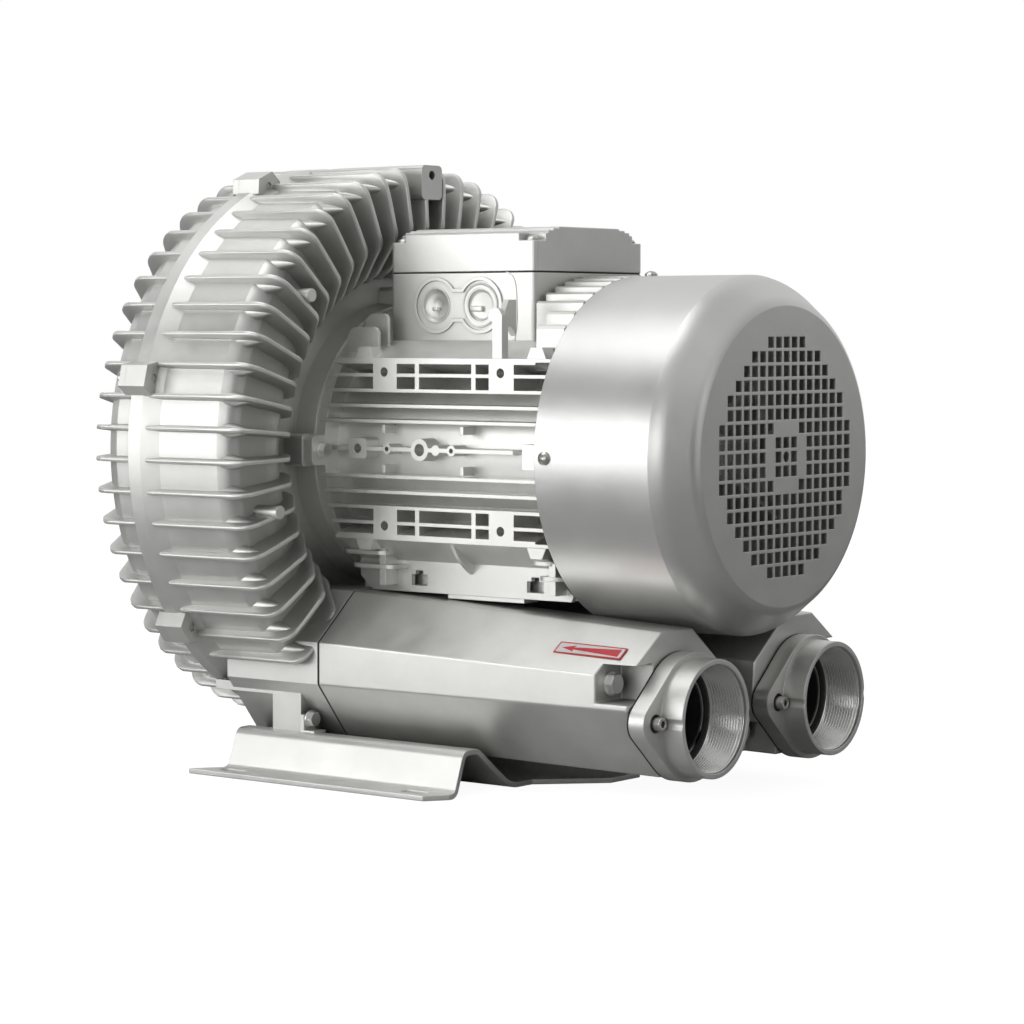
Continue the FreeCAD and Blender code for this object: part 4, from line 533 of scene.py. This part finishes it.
ENTRY_BAR_ROUND = 0.7
WALL_BEAD = ((236.0, 370.0), (241.0, 368.0), (244.4, 361.6), (245.6, 350.0), (245.6, 333.0),
             (243.0, 318.0))
WALL_BEAD_RADIUS = 0.55
WALL_BEAD_SMOOTHING = 6


def cable_entries():
    """Pressed dishes with their grip bars, and the raised line beside them."""
    pieces = []
    for k, (x, steps) in enumerate(zip(ENTRY_PLACES, DISHES)):
        pieces.append(lathe("cable_entry_dish_%d" % (k + 1), steps, (x, BOX_WALL_Y, ENTRY_HEIGHT),
                            (0, -1, 0), MOTOR_CAST, DISH_TURNS))
    middle = ENTRY_HEIGHT - ENTRY_BAR_DROP
    for k, (xs, half, low, high) in enumerate(ENTRY_BARS):
        pieces.append(rounded_bar("cable_entry_bar_%d" % (k + 1), xs,
                                  (BOX_WALL_Y - high, BOX_WALL_Y - low),
                                  (middle - half, middle + half), ENTRY_BAR_ROUND, MOTOR_CAST))
    for piece in pieces:
        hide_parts("cable_entry_plugs")
    path = [(x, BOX_WALL_Y, z) for x, z in smooth_line(WALL_BEAD, WALL_BEAD_SMOOTHING)]
    bead("box_wall_bead", path, WALL_BEAD_RADIUS, MOTOR_CAST)


# Ports: a true helical thread stands in each bore, and fades in and out at its ends. Flat
# and flank are shares of the pitch.
PORT_SPREAD = 76.1
PORT_HEIGHT = 62.6
THREAD_ROOT = 37.55
THREAD_CREST = 36.25
THREAD_PITCH = 2.309
THREAD_START = 396.0
THREAD_END = 423.8
THREAD_ROWS_PER_TURN = 8
THREAD_SIDES = 120
THREAD_FADE_IN = 1.2
THREAD_FADE_OUT = 1.6
THREAD_FLAT = 0.12
THREAD_FLANK = 0.76
BORE_EDGE = ((394.7, 37.3), (396.2, 37.3), (396.9, 36.9), (397.0, 36.2), (396.5, 35.6),
             (394.7, 35.4))
BORE_EDGE_TURNS = 96


def port_thread(name, side):
    rows = int((THREAD_END - THREAD_START) / THREAD_PITCH * THREAD_ROWS_PER_TURN)
    points = []
    for row in range(rows + 1):
        x = THREAD_START + (THREAD_END - THREAD_START) * row / rows
        fade = min(1.0, (THREAD_END - x) / THREAD_FADE_OUT, (x - THREAD_START) / THREAD_FADE_IN)
        for k in range(THREAD_SIDES):
            phase = (x / THREAD_PITCH + k / THREAD_SIDES) % 1.0
            height = (abs(2 * phase - 1) - THREAD_FLAT) / THREAD_FLANK
            height = min(1.0, max(0.0, height))
            radius = THREAD_ROOT - (THREAD_ROOT - THREAD_CREST) * height * fade
            turn = 2 * math.pi * k / THREAD_SIDES
            points.append(place(x, side * PORT_SPREAD + radius * math.cos(turn),
                                PORT_HEIGHT + radius * math.sin(turn)))
    faces = strip_faces(rows + 1, THREAD_SIDES, closed=True)
    return add_piece(name, made_mesh(name, points, faces, 70.0), THREAD)


def port_bores():
    """Thread of each port and the turned step where it ends."""
    for side, name in ((-1, "inlet"), (1, "outlet")):
        port_thread(name + "_thread", side)
        lathe(name + "_bore_edge", BORE_EDGE, (0.0, side * PORT_SPREAD, PORT_HEIGHT), (1, 0, 0),
              THREAD, BORE_EDGE_TURNS)


# Flow arrow: the foil follows the upper slope of the near silencer. The lifts are heights of
# the white field and the red arrow over the middle of the foil's solid.
LABEL_SIZE = (56.4, 10.9)
LABEL_BORDER = 0.85
LABEL_ALONG = (277.0, 0.0, -7.0)
FIELD_LIFT = 0.17
FIELD_CORNER = 1.0
FIELD_CORNER_STEPS = 4
ARROW_LIFT = 0.19
ARROW = ((-24.4, 0.0), (-13.0, 3.2), (-14.2, 1.1), (25.0, 3.7), (25.0, -3.7), (-14.2, -1.1),
         (-13.0, -3.2))


def flow_arrow():
    """White field and red arrow that stand a little proud of the red foil."""
    foil = frame["nodes"]["flow_arrow_label"]
    points = [foil.matrix_world @ vertex.co for vertex in foil.data.vertices]
    centre = sum(points, Vector()) / len(points)
    along = Vector(LABEL_ALONG).normalized()
    biggest = max(foil.data.polygons, key=lambda polygon: polygon.area)
    normal = (foil.matrix_world.to_3x3() @ biggest.normal).normalized()
    if normal.z < 0:
        normal = -normal
    across = normal.cross(along)
    half_x = LABEL_SIZE[0] / 2 - LABEL_BORDER - FIELD_CORNER
    half_y = LABEL_SIZE[1] / 2 - LABEL_BORDER - FIELD_CORNER
    field = []
    for sx, sy, start in ((1, 1, 0), (-1, 1, 90), (-1, -1, 180), (1, -1, 270)):
        for k in range(FIELD_CORNER_STEPS + 1):
            turn = math.radians(start + 90 * k / FIELD_CORNER_STEPS)
            field.append((sx * half_x + FIELD_CORNER * math.cos(turn),
                          sy * half_y + FIELD_CORNER * math.sin(turn)))
    for name, outline, lift, material in (("flow_arrow_field", field, FIELD_LIFT, LABEL_WHITE),
                                          ("flow_arrow_print", ARROW, ARROW_LIFT, LABEL_RED)):
        corners = [centre + (along * u + across * v + normal * lift) * MM for u, v in outline]
        mesh = made_mesh(name, corners, [tuple(range(len(corners)))])
        add_piece(name, mesh, material)


# Pointed ejector pads that stand on the ribs at the shoulder: (x, radius) steps
PAD_STEPS = ((80.0, 6.4), (86.0, 6.2), (92.0, 5.5), (98.0, 4.3), (103.0, 3.0), (106.5, 1.8),
             (108.5, 0.5))
PAD_RADIUS = 200.0
PAD_SIDES = 14


def ejector_pads(angles):
    points, faces = [], []
    for angle in angles:
        first = len(points)
        for x, size in PAD_STEPS:
            for side in range(PAD_SIDES):
                turn = 2 * math.pi * side / PAD_SIDES
                points.append(around(angle, x, PAD_RADIUS + size * math.sin(turn),
                                     size * math.cos(turn)))
        faces += strip_faces(len(PAD_STEPS), PAD_SIDES, first, closed=True)
        faces.append(tuple(range(len(points) - PAD_SIDES, len(points))))
        faces.append(tuple(range(first + PAD_SIDES - 1, first - 1, -1)))
    mesh = made_mesh("ejector_pads", points, faces)
    return add_piece("ejector_pads", mesh, CAST)


# Ends of the ejector pins that stand in front of the ribs: (x, radius) steps
PIN_ANGLES = (38.9, -13.5, 141.1, 193.5)
PIN_CIRCLE = 181.0
PIN_END = ((108.0, 4.95), (115.2, 4.95), (115.8, 4.7), (116.15, 4.2), (116.15, 3.5),
           (115.95, 3.2), (115.95, 0.0))
PIN_TURNS = 32


def pin_ends():
    for k, angle in enumerate(PIN_ANGLES):
        turn = math.radians(angle)
        centre = (0.0, -math.cos(turn) * PIN_CIRCLE, SHAFT_HEIGHT + math.sin(turn) * PIN_CIRCLE)
        lathe("pin_end_%d" % (k + 1), PIN_END, centre, (1, 0, 0), CAST, PIN_TURNS)


# Camera, world, floor and lights

def turned(direction):
    """Rotation that points a camera or lamp along a direction."""
    return direction.to_track_quat("-Z", "Y")


def set_camera():
    camera = bpy.data.objects.new("camera", bpy.data.cameras.new("camera"))
    bpy.context.scene.collection.objects.link(camera)
    camera.location = CAMERA_PLACE
    camera.rotation_mode = "QUATERNION"
    camera.rotation_quaternion = turned(Vector(CAMERA_TARGET) - Vector(CAMERA_PLACE))
    camera.data.sensor_width = CAMERA_SENSOR
    camera.data.lens = CAMERA_LENS
    camera.data.clip_start, camera.data.clip_end = CAMERA_CLIP
    bpy.context.scene.camera = camera


def mixed(tree, share, one, other):
    node = tree.nodes.new("ShaderNodeMixShader")
    tree.links.new(share, node.inputs[0])
    tree.links.new(one, node.inputs[1])
    tree.links.new(other, node.inputs[2])
    return node.outputs[0]


def eased(tree, value, edge, low, high):
    """Number that rises smoothly from low to high as a value crosses an edge."""
    node = tree.nodes.new("ShaderNodeMapRange")
    node.interpolation_type = "SMOOTHSTEP"
    for socket, number in zip(("From Min", "From Max", "To Min", "To Max"), (*edge, low, high)):
        node.inputs[socket].default_value = number
    tree.links.new(value, node.inputs["Value"])
    return node.outputs["Result"]


def facing(tree, direction, edge, low, high):
    """Number that rises from low to high as a ray turns towards a direction."""
    coordinates = tree.nodes.new("ShaderNodeTexCoord")
    product = tree.nodes.new("ShaderNodeVectorMath")
    product.operation = "DOT_PRODUCT"
    product.inputs[1].default_value = direction
    tree.links.new(coordinates.outputs["Generated"], product.inputs[0])
    return eased(tree, product.outputs["Value"], edge, low, high)


def combined(tree, operation, one, other):
    node = tree.nodes.new("ShaderNodeMath")
    node.operation = operation
    for socket, source in zip(node.inputs, (one, other)):
        tree.links.new(source, socket)
    return node.outputs[0]


def seen(tree, path):
    """1 for rays from the camera, also where they passed through something clear."""
    return combined(tree, "MAXIMUM", path.outputs["Is Camera Ray"],
                    path.outputs["Is Transmission Ray"])


def set_world():
    """White to the camera, a white wall behind the object to reflections, dim to diffuse light."""
    world = bpy.data.worlds.new("studio")
    bpy.context.scene.world = world
    world.use_nodes = True
    tree = world.node_tree
    dim = tree.nodes["Background"]
    white = tree.nodes.new("ShaderNodeBackground")
    wall = tree.nodes.new("ShaderNodeBackground")
    for light in (dim, white, wall):
        light.inputs["Color"].default_value = WHITE
    dim.inputs["Strength"].default_value = WORLD_DIM
    behind = facing(tree, WALL_DIRECTION, WALL_EDGE, WALL_DARK, WALL_BRIGHT)
    above = facing(tree, ABOVE_DIRECTION, ABOVE_EDGE, 0.0, ABOVE_BRIGHT)
    tree.links.new(combined(tree, "MAXIMUM", behind, above), wall.inputs["Strength"])
    path = tree.nodes.new("ShaderNodeLightPath")
    reflected = mixed(tree, path.outputs["Is Glossy Ray"], dim.outputs[0], wall.outputs[0])
    shown = mixed(tree, seen(tree, path), reflected, white.outputs[0])
    tree.links.new(shown, tree.nodes["World Output"].inputs["Surface"])


def set_floor():
    """Pale floor that is white to the camera but keeps the object's shadow."""
    mesh = bpy.data.meshes.new("floor")
    signs = ((-1, -1), (1, -1), (1, 1), (-1, 1))
    corners = [(x * FLOOR_REACH, y * FLOOR_REACH, 0) for x, y in signs]
    mesh.from_pydata(corners, [], [(0, 1, 2, 3)])
    floor = bpy.data.objects.new("floor", mesh)
    floor.location.z = -FLOOR_DROP
    bpy.context.scene.collection.objects.link(floor)
    material = bpy.data.materials.new("floor")
    material.use_nodes = True
    tree = material.node_tree
    shader = tree.nodes["Principled BSDF"]
    shader.inputs["Base Color"].default_value = (FLOOR_TONE, FLOOR_TONE, FLOOR_TONE, 1.0)
    shader.inputs["Roughness"].default_value = FLOOR_ROUGHNESS
    shader.inputs["Specular IOR Level"].default_value = 0.0
    glow = tree.nodes.new("ShaderNodeEmission")
    path = tree.nodes.new("ShaderNodeLightPath")
    coordinates = tree.nodes.new("ShaderNodeTexCoord")
    distance = tree.nodes.new("ShaderNodeVectorMath")
    distance.operation = "LENGTH"
    tree.links.new(coordinates.outputs["Object"], distance.inputs[0])
    strength = eased(tree, distance.outputs["Value"], FLOOR_GLOW_EDGE, *FLOOR_GLOW)
    strength = combined(tree, "MULTIPLY", seen(tree, path), strength)
    tree.links.new(strength, glow.inputs["Strength"])
    both = tree.nodes.new("ShaderNodeAddShader")
    tree.links.new(shader.outputs[0], both.inputs[0])
    tree.links.new(glow.outputs[0], both.inputs[1])
    tree.links.new(both.outputs[0], tree.nodes["Material Output"].inputs["Surface"])
    mesh.materials.append(material)


def add_light(name, position, target, size, power):
    light = bpy.data.lights.new(name, "AREA")
    light.shape = "RECTANGLE"
    light.size, light.size_y = size
    light.energy = power
    lamp = bpy.data.objects.new(name, light)
    lamp.location = position
    lamp.rotation_mode = "QUATERNION"
    lamp.rotation_quaternion = turned(Vector(target) - Vector(position))
    bpy.context.scene.collection.objects.link(lamp)


def set_lights():
    for light in LIGHTS:
        add_light(*light)


dress_nodes()
for node, width in SOFTENED:
    softened(node, width)
rib_set("housing_ribs", HOUSING_RIB, rib_angles(BLOCK_ANGLE), True)
rib_set("cover_ribs", COVER_RIB, rib_angles(0), False)
ejector_pads(rib_angles(BLOCK_ANGLE))
pin_ends()
cable_entries()
port_bores()
flow_arrow()
set_camera()
set_world()
set_floor()
set_lights()
bpy.context.scene.view_settings.view_transform = "Standard"
